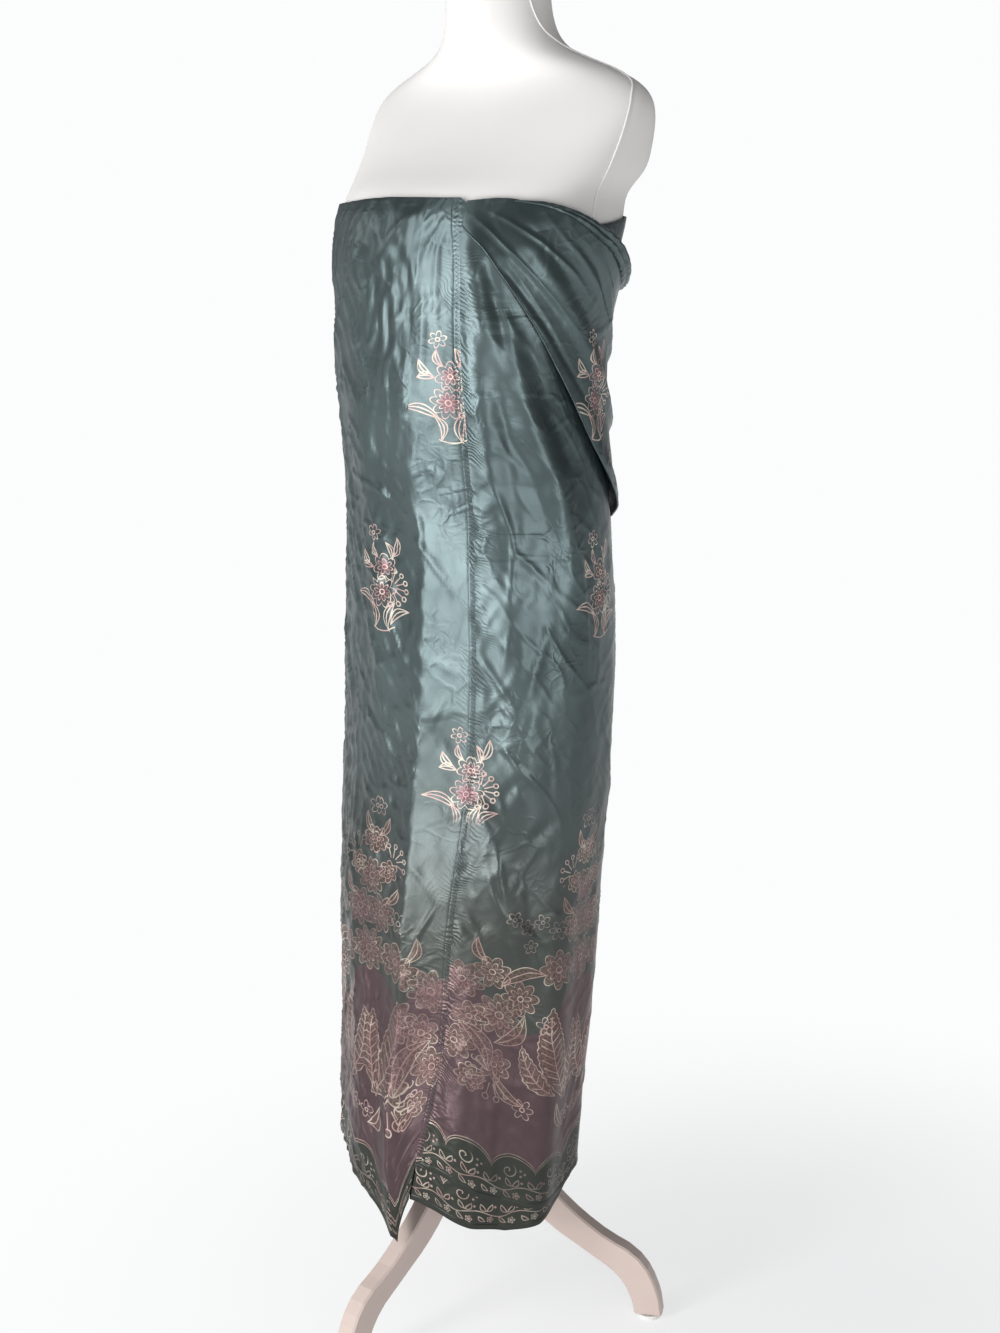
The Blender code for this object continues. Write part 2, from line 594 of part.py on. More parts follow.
def make_stand(finish, glide_finish, collection):
    """Base plate, pole, hub, three curved legs and their glides."""
    plate_top = FORM_SECTIONS[0].height - SEAM_GAP
    plate_bottom = plate_top - BASE_PLATE_THICKNESS
    plate = turned("base_plate", [
        (0.0, plate_top),
        (BASE_PLATE_RADIUS, plate_top),
        (BASE_PLATE_RADIUS, plate_bottom + TURNED_EDGE),
        (BASE_PLATE_RADIUS - TURNED_EDGE, plate_bottom),
        (0.0, plate_bottom),
    ], finish, collection)
    pole_top = plate_bottom - SEAM_GAP
    pole = turned("pole", [
        (0.0, pole_top),
        (POLE_RADIUS, pole_top),
        (POLE_RADIUS, POLE_BOTTOM + TURNED_EDGE),
        (POLE_RADIUS - TURNED_EDGE, POLE_BOTTOM),
        (0.0, POLE_BOTTOM),
    ], finish, collection)
    bore = POLE_RADIUS + SEAM_GAP
    hub = turned("hub", [
        (HUB_RADIUS - TURNED_EDGE, HUB_TOP),
        (HUB_RADIUS, HUB_TOP - TURNED_EDGE),
        (HUB_RADIUS, HUB_BOTTOM + TURNED_EDGE),
        (HUB_RADIUS - TURNED_EDGE, HUB_BOTTOM),
        (bore, HUB_BOTTOM),
        (bore, HUB_TOP),
    ], finish, collection)
    for piece in (plate, pole, hub):
        piece.location = (0.0, POLE_Y, 0.0)

    leg_mesh = make_leg_mesh()
    for name, angle in LEG_ANGLES.items():
        leg = add_object(name, leg_mesh.copy(), finish, collection)
        turn = Matrix.Rotation(math.radians(angle), 4, "Z") @ Matrix.Rotation(math.radians(90), 4, "X")
        leg.matrix_world = Matrix.Translation((0.0, POLE_Y, 0.0)) @ turn
        corners = leg.modifiers.new("eased_corners", "BEVEL")
        corners.width = LEG_EASED_CORNER
        corners.segments = 1
        corners.limit_method = "ANGLE"
        corners.angle_limit = math.radians(SHARP_DEGREES)
        make_glide(name.replace("leg", "glide"), angle, glide_finish, collection)
    bpy.data.meshes.remove(leg_mesh)


def make_leg_mesh():
    """One leg as a flat S-curved board: a filled outline, extruded to the board's thickness."""
    foot = GLIDE_HEIGHT + SEAM_GAP
    outline = LEG_UPPER_EDGE + [(LEG_TOE, foot), (LEG_HEEL, foot)] + LEG_LOWER_EDGE
    corners = {0, len(LEG_UPPER_EDGE), len(LEG_UPPER_EDGE) + 1, len(outline) - 1}
    curve = bpy.data.curves.new("leg_outline", "CURVE")
    curve.dimensions = "2D"
    curve.fill_mode = "BOTH"
    curve.extrude = LEG_THICKNESS / 2
    curve.resolution_u = 3
    spline = curve.splines.new("BEZIER")
    spline.bezier_points.add(len(outline) - 1)
    spline.use_cyclic_u = True
    for number, (reach, height) in enumerate(outline):
        knot = spline.bezier_points[number]
        knot.co = (reach, height, 0.0)
        kind = "VECTOR" if number in corners else "AUTO"
        knot.handle_left_type = kind
        knot.handle_right_type = kind
    guide = bpy.data.objects.new("leg_outline", curve)
    bpy.context.scene.collection.objects.link(guide)
    evaluated = guide.evaluated_get(bpy.context.evaluated_depsgraph_get())
    mesh = bpy.data.meshes.new_from_object(evaluated)
    bpy.data.objects.remove(guide, do_unlink=True)
    board = bmesh.new()
    board.from_mesh(mesh)
    bmesh.ops.remove_doubles(board, verts=board.verts, dist=0.00005)
    bmesh.ops.recalc_face_normals(board, faces=board.faces)
    board.to_mesh(mesh)
    board.free()
    return mesh


def make_glide(name, angle, finish, collection):
    """A small round glide under a foot."""
    disc = bmesh.new()
    bmesh.ops.create_cone(disc, cap_ends=True, segments=20, radius1=GLIDE_RADIUS, radius2=GLIDE_RADIUS,
                          depth=GLIDE_HEIGHT)
    glide = add_object(name, disc, finish, collection)
    turn = math.radians(angle)
    place = (GLIDE_REACH * math.cos(turn), POLE_Y + GLIDE_REACH * math.sin(turn), GLIDE_HEIGHT / 2)
    glide.location = place


def main():
    clear_scene()
    collection = bpy.data.collections.new("silk_wrap_on_dress_form")
    bpy.context.scene.collection.children.link(collection)
    finishes = {name: make_material(name) for name in FINISHES}
    silk = finishes["silk"]
    make_front_stretch(silk, collection)
    make_side_stretch(silk, collection)
    make_seam_hem(silk, collection)
    make_swag(silk, collection)
    make_inner_stretch(silk, collection)
    make_top_roll(silk, collection)
    make_form(finishes["jersey"], finishes["painted_wood"], collection)
    make_stand(finishes["painted_wood"], finishes["white_plastic"], collection)


main()
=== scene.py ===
# %% [markdown]
# # A silk wrap on a limbless dress form
#
# A long batik scarf of silk satin is wound round a padded dress form as a strapless column. Its
# top edge is twisted into a rope and carried round the body. This notebook dresses the packed model:
# the cloth gets its creases, hems, stitches and print, and the form and stand get their finishes.
# Lengths are metres. Angles run round the pole in degrees: 0 is the form's left side, -90 its front,
# 90 its back and -180 its right side.

# %% Load the packed model
import math
from collections import namedtuple

import bmesh
import bpy
import numpy as np
from mathutils import Matrix, Vector, noise
from mathutils.bvhtree import BVHTree


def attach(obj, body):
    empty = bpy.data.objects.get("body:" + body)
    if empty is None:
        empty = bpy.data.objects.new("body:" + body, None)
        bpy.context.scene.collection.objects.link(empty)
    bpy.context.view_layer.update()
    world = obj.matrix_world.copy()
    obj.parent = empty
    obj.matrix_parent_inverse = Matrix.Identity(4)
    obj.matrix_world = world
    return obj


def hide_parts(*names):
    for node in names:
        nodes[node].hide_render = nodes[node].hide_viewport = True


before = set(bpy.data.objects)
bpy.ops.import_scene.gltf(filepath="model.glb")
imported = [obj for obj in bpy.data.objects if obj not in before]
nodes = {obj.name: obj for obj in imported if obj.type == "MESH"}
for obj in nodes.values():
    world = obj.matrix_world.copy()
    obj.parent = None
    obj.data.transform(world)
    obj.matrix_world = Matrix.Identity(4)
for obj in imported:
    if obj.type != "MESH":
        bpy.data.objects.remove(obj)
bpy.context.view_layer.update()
print("nodes:", sorted(nodes))

# %% [markdown]
# ## Camera
#
# The photograph looks at the form's front from its left, slightly down from a little over chest
# height. The focal length and the shift put the pole and the feet where the picture has them.

# %% Camera
POLE_Y = 0.034
CAMERA_AZIMUTH = 42.0
CAMERA_DISTANCE = 2.2
CAMERA_HEIGHT = 1.2
CAMERA_TILT = 12.0
PHOTO_HEIGHT = 1333
FOCAL_PIXELS = 2112
SHIFT_PIXELS = 25
SENSOR_WIDTH = 36.0


def add_camera():
    """The camera at the photograph's angle, aimed with its own three directions."""
    azimuth = math.radians(CAMERA_AZIMUTH)
    tilt = math.radians(CAMERA_TILT)
    right = Vector((math.cos(azimuth), math.sin(azimuth), 0.0))
    level = Vector((-math.sin(azimuth), math.cos(azimuth), 0.0))
    ahead = level * math.cos(tilt) - Vector((0.0, 0.0, math.sin(tilt)))
    data = bpy.data.cameras.new("camera")
    data.sensor_width = SENSOR_WIDTH
    data.lens = FOCAL_PIXELS * SENSOR_WIDTH / PHOTO_HEIGHT
    data.shift_x = SHIFT_PIXELS / PHOTO_HEIGHT
    camera = bpy.data.objects.new("camera", data)
    camera.location = Vector((0.0, POLE_Y, CAMERA_HEIGHT)) - level * CAMERA_DISTANCE
    turn = Matrix((right, right.cross(ahead), -ahead)).transposed()
    camera.rotation_euler = turn.to_euler()
    bpy.context.scene.collection.objects.link(camera)
    bpy.context.scene.camera = camera
    return camera


camera = add_camera()
print("camera at", [round(value, 3) for value in camera.location], "lens", round(camera.data.lens, 2))

# %% [markdown]
# ## Light
#
# Satin shows its folds by where it mirrors a lamp, so the lamps matter more than on matt cloth. Two
# narrow soft boxes stand in front of the form, one above the other, and make the bright band between
# the pleat and the seam. Weak ones fill the sides and the back.

# %% Lamps
# Each lamp's angle round the pole, distance, height, width, how tall it is, and watts
Lamp = namedtuple("Lamp", "angle distance height width tall power")
LAMPS = {
    "key_low": Lamp(-94.0, 2.4, 0.52, 0.60, 0.9, 30.0),
    "key_high": Lamp(-96.0, 2.4, 1.85, 0.80, 2.0, 40.0),
    "by_camera": Lamp(-30.0, 2.8, 0.60, 0.7, 1.2, 21.0),
    "right": Lamp(-176.0, 2.8, 1.45, 0.8, 1.1, 2.0),
    "upper": Lamp(-147.0, 2.3, 1.95, 0.8, 0.7, 8.0),
    "back": Lamp(125.0, 3.0, 1.6, 1.4, 1.8, 7.5),
    "top": Lamp(-95.0, 0.9, 3.0, 1.4, 1.4, 6.0),
}
LAMP_AIM = Vector((0.0, POLE_Y, 0.75))


def add_lamp(name, lamp):
    """A soft box that stands round the form at an angle and faces it."""
    data = bpy.data.lights.new(name, "AREA")
    data.shape = "RECTANGLE"
    data.size = lamp.width
    data.size_y = lamp.tall
    data.energy = lamp.power
    light = bpy.data.objects.new(name, data)
    turn = math.radians(lamp.angle)
    light.location = (lamp.distance * math.cos(turn), POLE_Y + lamp.distance * math.sin(turn), lamp.height)
    light.rotation_euler = (LAMP_AIM - light.location).to_track_quat("-Z", "Y").to_euler()
    bpy.context.scene.collection.objects.link(light)


for lamp_name, lamp in LAMPS.items():
    add_lamp(lamp_name, lamp)
print("lamps:", ", ".join(LAMPS), "-", sum(lamp.power for lamp in LAMPS.values()), "watts in all")

# %% [markdown]
# ## A short way to write shader nodes
#
# A number that varies over a surface is a socket. Wrapping it in a small class with arithmetic lets
# shader maths read as ordinary expressions. Every other node comes from one method of the finish.

# %% Shader arithmetic


class Field:
    """A number that varies over a surface: a socket with arithmetic, for one finish's shader."""

    def __init__(self, finish, socket):
        self.finish = finish
        self.socket = socket

    def maths(self, operation, *values):
        settings = {"operation": operation}
        return self.finish.add("ShaderNodeMath", settings, dict(enumerate(values)))

    def __add__(self, other):
        return self.maths("ADD", self, other)

    def __sub__(self, other):
        return self.maths("SUBTRACT", self, other)

    def __rsub__(self, other):
        return self.maths("SUBTRACT", other, self)

    def __mul__(self, other):
        return self.maths("MULTIPLY", self, other)

    def __truediv__(self, other):
        return self.maths("DIVIDE", self, other)

    def __pow__(self, other):
        return self.maths("POWER", self, other)

    __radd__ = __add__
    __rmul__ = __mul__

    def abs(self):
        return self.maths("ABSOLUTE", self)

    def cos(self):
        return self.maths("COSINE", self)

    def sin(self):
        return self.maths("SINE", self)

    def floor(self):
        return self.maths("FLOOR", self)

    def modulo(self, other):
        return self.maths("MODULO", self, other)

    def largest(self, other):
        return self.maths("MAXIMUM", self, other)

    def smallest(self, other):
        return self.maths("MINIMUM", self, other)

    def repeat(self, period):
        """Fold the number into one period, centred on nought."""
        return self.maths("WRAP", self, period / 2, -period / 2)

    def mirror(self, period):
        """Fold the number back and forth, from nought to the period."""
        return self.maths("PINGPONG", self, period)

    def ramp(self, low, high):
        """Rise smoothly from 0 at low to 1 at high."""
        settings = {"interpolation_type": "SMOOTHSTEP"}
        if low <= high:
            return self.finish.add("ShaderNodeMapRange", settings, {0: self, 1: low, 2: high})
        return 1 - self.finish.add("ShaderNodeMapRange", settings, {0: self, 1: high, 2: low})


class Finish:
    """A material with its Principled shader, and a short way to add nodes."""

    def __init__(self, name, **constants):
        self.material = bpy.data.materials.new(name)
        self.material.use_nodes = True
        self.tree = self.material.node_tree
        self.shader = self.tree.nodes["Principled BSDF"]
        for words, value in constants.items():
            self.shader.inputs[words.replace("_", " ")].default_value = value

    def feed(self, socket, value):
        """Link a field or a raw socket to a socket, or set it to a constant."""
        if isinstance(value, Field):
            self.tree.links.new(value.socket, socket)
        elif isinstance(value, bpy.types.NodeSocket):
            self.tree.links.new(value, socket)
        else:
            socket.default_value = value

    def add(self, kind, settings=None, inputs=None, output=0):
        """One node: its type, its settings, then the values or links of its sockets."""
        node = self.tree.nodes.new(kind)
        for key, value in (settings or {}).items():
            setattr(node, key, value)
        for key, value in (inputs or {}).items():
            self.feed(node.inputs[key], value)
        return Field(self, node.outputs[output])

    def split(self, vector):
        """The two first coordinates of a vector."""
        node = self.add("ShaderNodeSeparateXYZ", inputs={0: vector}).socket.node
        return Field(self, node.outputs[0]), Field(self, node.outputs[1])

    def join(self, across, up, depth=0.0):
        """A vector of three numbers."""
        return self.add("ShaderNodeCombineXYZ", inputs={0: across, 1: up, 2: depth})

    def noise(self, vector, scale, detail=2.0, roughness=0.5):
        """Smooth noise from 0 to 1."""
        inputs = {"Vector": vector, "Scale": scale, "Detail": detail, "Roughness": roughness}
        return self.add("ShaderNodeTexNoise", inputs=inputs)

    def edges(self, vector, scale):
        """The distance to the nearest edge of a net of cells."""
        inputs = {"Vector": vector, "Scale": scale}
        return self.add("ShaderNodeTexVoronoi", {"feature": "DISTANCE_TO_EDGE"}, inputs)

    def mix(self, factor, first, second):
        """Blend two colours."""
        node = self.tree.nodes.new("ShaderNodeMix")
        node.data_type = "RGBA"
        self.feed(node.inputs["Factor"], factor)
        for socket, colour in ((node.inputs[6], first), (node.inputs[7], second)):
            self.feed(socket, (*colour, 1.0) if isinstance(colour, tuple) else colour)
        return Field(self, node.outputs[2])

    def bump(self, height, distance, strength=1.0, normal=None):
        """Turn a height into a normal."""
        inputs = {"Height": height, "Distance": distance, "Strength": strength}
        if normal is not None:
            inputs["Normal"] = normal
        return self.add("ShaderNodeBump", inputs=inputs)

    def set(self, name, value):
        """Feed one socket of the Principled shader."""
        self.feed(self.shader.inputs[name], value)


def coordinates(finish, kind="Object"):
    """The coordinates that a pattern follows."""
    node = finish.tree.nodes.new("ShaderNodeTexCoord")
    return Field(finish, node.outputs[kind])


print("a finish can", ", ".join(name for name in vars(Finish) if not name.startswith("_")))

# %% [markdown]
# ## The floor and the world
#
# The floor is a real plane, so that it takes a shadow, mixed with a glow so that it stays pale. Away
# from the shadow the glow grows to full strength, so the floor fades into the world's colour and no
# horizon shows. Camera rays see the world bright, and all others see it dim, so the lamps stay in
# charge of the satin.

# %% Floor and world
WORLD_COLOUR = (0.97, 0.975, 0.98)
WORLD_LIGHT = 0.17
FLOOR_SIZE = 24.0
FLOOR_COLOUR = (0.86, 0.87, 0.88, 1.0)
FLOOR_ROUGHNESS = 0.9
FLOOR_GLOW = 0.72
FLOOR_FADE_FROM = (0.26, 0.22, 0.0)
FLOOR_FADE_START = 0.10
FLOOR_FADE_END = 0.95


def make_floor():
    """A wide pale floor that keeps its shadow on one side and fades into the world's colour."""
    mesh = bpy.data.meshes.new("floor")
    half = FLOOR_SIZE / 2
    corners = [(-half, -half, 0.0), (half, -half, 0.0), (half, half, 0.0), (-half, half, 0.0)]
    mesh.from_pydata(corners, [], [(0, 1, 2, 3)])
    floor = bpy.data.objects.new("floor", mesh)
    bpy.context.scene.collection.objects.link(floor)
    finish = Finish("floor", Base_Color=FLOOR_COLOUR, Roughness=FLOOR_ROUGHNESS)
    place = coordinates(finish)
    settings = {"operation": "DISTANCE"}
    reach = finish.add("ShaderNodeVectorMath", settings, {0: place, 1: FLOOR_FADE_FROM}, output=1)
    glow = finish.add("ShaderNodeEmission", inputs={"Color": (*WORLD_COLOUR, 1.0)})
    fade = FLOOR_GLOW + (1 - FLOOR_GLOW) * reach.ramp(FLOOR_FADE_START, FLOOR_FADE_END)
    blend = finish.add("ShaderNodeMixShader", inputs={0: fade})
    finish.feed(blend.socket.node.inputs[1], finish.shader.outputs[0])
    finish.feed(blend.socket.node.inputs[2], glow)
    finish.feed(finish.tree.nodes["Material Output"].inputs["Surface"], blend)
    mesh.materials.append(finish.material)


def make_world():
    """A pale world: bright to the camera, dimmer as light."""
    world = bpy.data.worlds.new("world")
    world.use_nodes = True
    bpy.context.scene.world = world
    tree = world.node_tree
    background = tree.nodes["Background"]
    background.inputs["Color"].default_value = (*WORLD_COLOUR, 1.0)
    rays = tree.nodes.new("ShaderNodeLightPath")
    level = tree.nodes.new("ShaderNodeMapRange")
    level.inputs["To Min"].default_value = WORLD_LIGHT
    level.inputs["To Max"].default_value = 1.0
    tree.links.new(rays.outputs["Is Camera Ray"], level.inputs["Value"])
    tree.links.new(level.outputs[0], background.inputs["Strength"])


make_floor()
make_world()
bpy.context.scene.view_settings.view_transform = "Standard"
print("the floor is", FLOOR_SIZE, "m wide, and the world's light is", WORLD_LIGHT)

# %% [markdown]
# ## The cloth's form
#
# The cloth is one long rectangle wound round the body, so every stretch follows the same oval
# sections. A maker would drape it; here each stretch is a flat grid bent to those sections, and each
# crease pushes the grid out or in along a line. The flat grid also gives the print its place.

# %% Sections of the wrapped cloth
METRES_PER_DEGREE = 0.0023
CLOTH_WALL = 0.0012
LAYER_GAP = 0.0010
LAP_GAP = 0.0015
SEAM_GAP = 0.0001
SEAM_HEM_WIDTH = 0.007
SHELL = 0.0007

# Each section's height, then its centre, half width, and depth before and behind the pole
CLOTH_SECTIONS = [
    (0.100, -0.018, 0.136, 0.131, 0.088),
    (0.240, -0.016, 0.140, 0.128, 0.104),
    (0.350, -0.012, 0.145, 0.118, 0.115),
    (0.480, -0.009, 0.151, 0.117, 0.121),
    (0.620, -0.004, 0.157, 0.103, 0.123),
    (0.750, 0.000, 0.158, 0.104, 0.130),
    (0.800, 0.000, 0.157, 0.105, 0.131),
    (0.900, -0.001, 0.153, 0.107, 0.122),
    (0.970, -0.002, 0.150, 0.119, 0.111),
    (1.040, -0.002, 0.149, 0.130, 0.104),
    (1.100, -0.001, 0.151, 0.132, 0.108),
    (1.160, 0.000, 0.156, 0.132, 0.127),
    (1.200, 0.000, 0.156, 0.123, 0.151),
    (1.225, 0.000, 0.152, 0.109, 0.156),
]


def read_curve(rows, keys, column=1):
    """Read a table at many keys, on a smooth curve through its points."""
    xs = np.array([row[0] for row in rows], float)
    ys = np.array([row[column] for row in rows], float)
    keys = np.clip(np.asarray(keys, float), xs[0], xs[-1])
    low = np.clip(np.searchsorted(xs, keys) - 1, 0, len(xs) - 2)
    high = low + 1
    before = np.maximum(low - 1, 0)
    after = np.minimum(low + 2, len(xs) - 1)
    span = xs[high] - xs[low]
    share = (keys - xs[low]) / span
    rise = ys[high] - ys[low]
    slope_low = (ys[high] - ys[before]) / (xs[high] - xs[before]) * span
    slope_high = (ys[after] - ys[low]) / (xs[after] - xs[low]) * span
    bend = share * (1 - share) * ((1 - share) * (slope_low - rise) + share * (rise - slope_high))
    return ys[low] + rise * share + bend


def between(low, high, share):
    """The value a share of the way from low to high."""
    return low + (high - low) * share


def soft_step(share):
    """A share from 0 to 1 that starts and ends gently."""
    return share * share * (3 - 2 * share)


def read_line(rows, keys):
    """Read a table at many keys, with straight runs between its points."""
    return np.interp(keys, [row[0] for row in rows], [row[1] for row in rows])


def cloth_points(angles, heights, lifts=0.0):
    """Points on the cloth's outer face, moved straight out by lifts."""
    columns = range(1, len(CLOTH_SECTIONS[0]))
    centre, half_width, front, back = [read_curve(CLOTH_SECTIONS, heights, column) for column in columns]
    turn = np.radians(angles)
    depth = np.where(np.sin(turn) < 0, front, back)
    x = half_width * np.cos(turn)
    y = depth * np.sin(turn)
    out = np.stack([x / half_width ** 2, y / depth ** 2], axis=-1)
    out /= np.linalg.norm(out, axis=-1, keepdims=True)
    lifts = np.broadcast_to(lifts, x.shape)
    return np.stack([centre + x + out[..., 0] * lifts, POLE_Y + y + out[..., 1] * lifts,
                     np.broadcast_to(heights, x.shape)], axis=-1)


waist = cloth_points(np.linspace(-180.0, 180.0, 181), np.full(181, 1.04))
print("round the waist:", round(float(np.linalg.norm(np.diff(waist, axis=0), axis=-1).sum()), 3), "m")

# %% [markdown]
# ### Where each stretch begins and ends
#
# The seam runs down the form's left front, and the pleat beside it. Every hem and top edge is a line
# of heights round the body, as a maker would chalk it on the cloth. The rope is a line too, with a
# radius at each point.

# %% Edges of each stretch
TUCK_ANGLE = -58.0
WRAP_END_ANGLE = 168.0
RIGHT_END_ANGLE = -205.0
LAP_START_ANGLE = 138.0
LAP_CLIMB_DEGREES = 14.0
SIDE_HIDDEN = 0.019
SIDE_HIDDEN_DEGREES = 12.0
TUCK_DEGREES = 4.0
BAND_GAP = 0.005
BAND_BOTTOM = 1.085
TOP_EDGE_PASSES = 5

# Shares of the rope's radius: how far below its middle the swag joins it, and how far its lobes stand out
ROLL_REST = 0.5
ROLL_LOBE = 0.14
ROLL_JOIN_DEGREES = 12.0
SWAG_TOP_SHARPNESS = 4.5
SWAG_FLARE_SHARPNESS = 1.5

# Where each line lies round the body: height, angle
SEAM_LINE = [(0.12, -78.0), (0.17, -75.3), (0.225, -71.8), (0.333, -66.7), (0.445, -65.0), (0.60, -62.8),
             (0.744, -61.4), (0.866, -61.0), (1.007, -58.6), (1.103, -59.8), (1.16, -60.8), (1.22, -65.0)]
PLEAT_LINE = [(0.12, -79.8), (0.217, -84.2), (0.274, -86.0), (0.379, -84.0), (0.519, -83.5), (0.607, -84.3),
              (0.711, -81.6), (0.885, -79.0), (0.964, -81.5), (1.02, -79.1), (1.122, -76.2), (1.22, -74.0)]

# Height of each edge round the body: angle, height
FRONT_HEM = [(-205, 0.186), (-192, 0.174), (-175, 0.180), (-160, 0.168), (-146, 0.186), (-132, 0.197),
             (-120, 0.187), (-108, 0.172), (-96, 0.159), (-90, 0.147), (-84, 0.131), (-80, 0.121),
             (-75.3, 0.171)]
FRONT_TOP = [(-205, 1.196), (-180, 1.207), (-150, 1.213), (-126, 1.215), (-110, 1.218), (-94, 1.220),
             (-65, 1.219)]
SIDE_HEM = [(-75.3, 0.171), (-70, 0.169), (-62, 0.162), (-46, 0.148), (-30, 0.140), (-14, 0.144),
            (2, 0.160), (18, 0.186), (34, 0.190), (52, 0.178), (72, 0.192), (94, 0.178), (118, 0.190),
            (142, 0.180), (168, 0.188)]
SWAG_EDGE = [(-58.8, 1.193), (-56, 1.186), (-50, 1.172), (-44, 1.152), (-38, 1.132), (-26, 1.088),
             (-14, 1.038), (-2, 0.990), (10, 0.957), (25, 0.928), (45, 0.900), (70, 0.878), (95, 0.880),
             (118, 0.915), (138, 0.985), (154, 1.075), (164, 1.140)]
SWAG_TOP = [(-58.8, 1.216), (-46, 1.2185), (-34, 1.2155), (-27, 1.2107)]
BAND_TOP = [(-27, 1.205), (-15, 1.197), (0, 1.193), (34, 1.200), (70, 1.203), (110, 1.203), (154.6, 1.200)]

# The rolled top: angle, height of its middle, radius
ROLL_LINE = [(-40, 1.2158, 0.0008), (-27, 1.2118, 0.0026), (-16, 1.2040, 0.0040), (-8, 1.1955, 0.0052),
             (0, 1.1850, 0.0062), (7, 1.1760, 0.0070), (19, 1.1570, 0.0072), (30, 1.1430, 0.0068),
             (45, 1.1320, 0.0066), (65, 1.1300, 0.0068), (90, 1.1370, 0.0068), (120, 1.1520, 0.0062),
             (150, 1.1690, 0.0045), (160, 1.1740, 0.0030)]

# How far the swag's lower edge stands off what it covers: angle, gap
SWAG_STAND_OFF = [(-58.8, 0.0), (-46, 0.002), (-30, 0.004), (-12, 0.005), (10, 0.005), (45, 0.006),
                  (80, 0.009), (115, 0.009), (145, 0.004), (164, 0.0)]
print("the rope runs from", ROLL_LINE[0][0], "to", ROLL_LINE[-1][0], "degrees round the body")

# %% [markdown]
# ## Folds and creases
#
# A fold is soft and wide, and a crease is narrow and may be sharp. Both are a line on the cloth with
# a rise at each point: above nought is a ridge and below it a trough. They were placed against
# the photograph, and the hidden sides have ones of the same kind. Small crumples would be too many to
# place one by one, so seeded noise makes them.

# %% Folds
# A half width, and at each point of its line the angle, the height and the rise
Fold = namedtuple("Fold", "half_width line sharp")


def read_folds(rows, sharp=False):
    """Folds from rows in degrees and millimetres: a half width, then each point's three numbers."""
    folds = []
    for half_width, *line in rows:
        points = [(angle, height / 1000, rise / 1000) for angle, height, rise in line]
        folds.append(Fold(half_width / 1000, points, sharp))
    return folds


FRONT_FOLDS = read_folds([
    (30, (-76, 1150, 0), (-79, 1020, 2), (-81.5, 964, 4), (-79, 885, 4), (-81.6, 711, 5),
     (-84.3, 607, 6), (-83.5, 519, 7), (-84, 379, 9), (-86, 274, 11), (-84.2, 217, 12),
     (-79.8, 110, 13)),
], sharp=True) + read_folds([
    (16, (-68, 1214, 0), (-78, 1196, 3), (-92, 1165, 2), (-100, 1135, 0)),
    (30, (-112, 1100, 0), (-110, 980, 4), (-106, 820, 4), (-104, 660, 0)),
    (40, (-124, 620, 0), (-120, 500, 6), (-112, 360, 6), (-106, 220, 3), (-104, 130, 2)),
    (30, (-146, 950, 0), (-150, 700, 3), (-148, 420, 4), (-146, 120, 5)),
    (30, (-162, 1050, 0), (-164, 800, 6), (-161, 480, 10), (-160, 120, 12)),
    (24, (-184, 980, 0), (-182, 740, 6), (-184, 460, 9), (-183, 120, 10)),
])
SIDE_FOLDS = read_folds([
    (23, (-61, 1222, 1), (-55.5, 1185, 3.5), (-52.5, 1145, 5), (-50, 1090, 5.8), (-48.5, 1020, 6),
     (-48, 950, 4.5), (-48, 860, 0)),
    (26, (-52, 1140, 0), (-44, 1100, 4), (-36, 1050, 8), (-29, 1000, 10), (-19, 947, 9), (-12, 860, 5),
     (-8, 770, 0)),
    (34, (-46, 900, 0), (-42, 800, 4), (-36, 660, 5), (-34, 520, 0)),
    (30, (-50, 620, 0), (-46, 540, 6), (-36, 470, 6), (-28, 400, 0)),
    (36, (-54, 480, 0), (-52, 360, 6), (-50, 240, 8), (-48, 120, 8)),
    (40, (-14, 600, 0), (-12, 420, 7), (-14, 260, 10), (-16, 120, 11)),
    (34, (22, 860, 0), (24, 620, 3), (22, 380, 4), (20, 120, 4)),
    (32, (56, 840, 0), (58, 620, 7), (54, 380, 11), (56, 120, 13)),
    (32, (88, 840, 0), (90, 600, 8), (86, 360, 11), (88, 120, 13)),
    (30, (120, 880, 0), (118, 620, 7), (122, 360, 10), (120, 120, 12)),
    (24, (150, 1000, 0), (152, 740, 4), (148, 440, 7), (150, 120, 8)),
])
SWAG_FOLDS = read_folds([
    (16, (-46, 1200, 0), (-30, 1165, 3), (-14, 1115, 4), (4, 1060, 4), (30, 1005, 4), (60, 975, 6),
     (95, 985, 6), (125, 1030, 5), (150, 1110, 0)),
    (14, (10, 1135, 0), (18, 1100, 3), (34, 1066, 4), (60, 1048, 6), (92, 1052, 5), (122, 1085, 4),
     (146, 1135, 0)),
    (16, (-52, 1180, 0), (-32, 1115, 1), (-8, 1022, 2), (10, 966, 2), (40, 915, 3), (75, 888, 5),
     (100, 896, 5), (130, 962, 3), (156, 1095, 0)),
])
print("folds in the front, the side and the swag:", len(FRONT_FOLDS), len(SIDE_FOLDS), len(SWAG_FOLDS))

# %% [markdown]
# ### Creases
#
# Worn silk creases where it was folded and where the seam pulls it. A crease that was pressed in is
# sharp at its crest. Many run aslant from the seam, and a few cross.

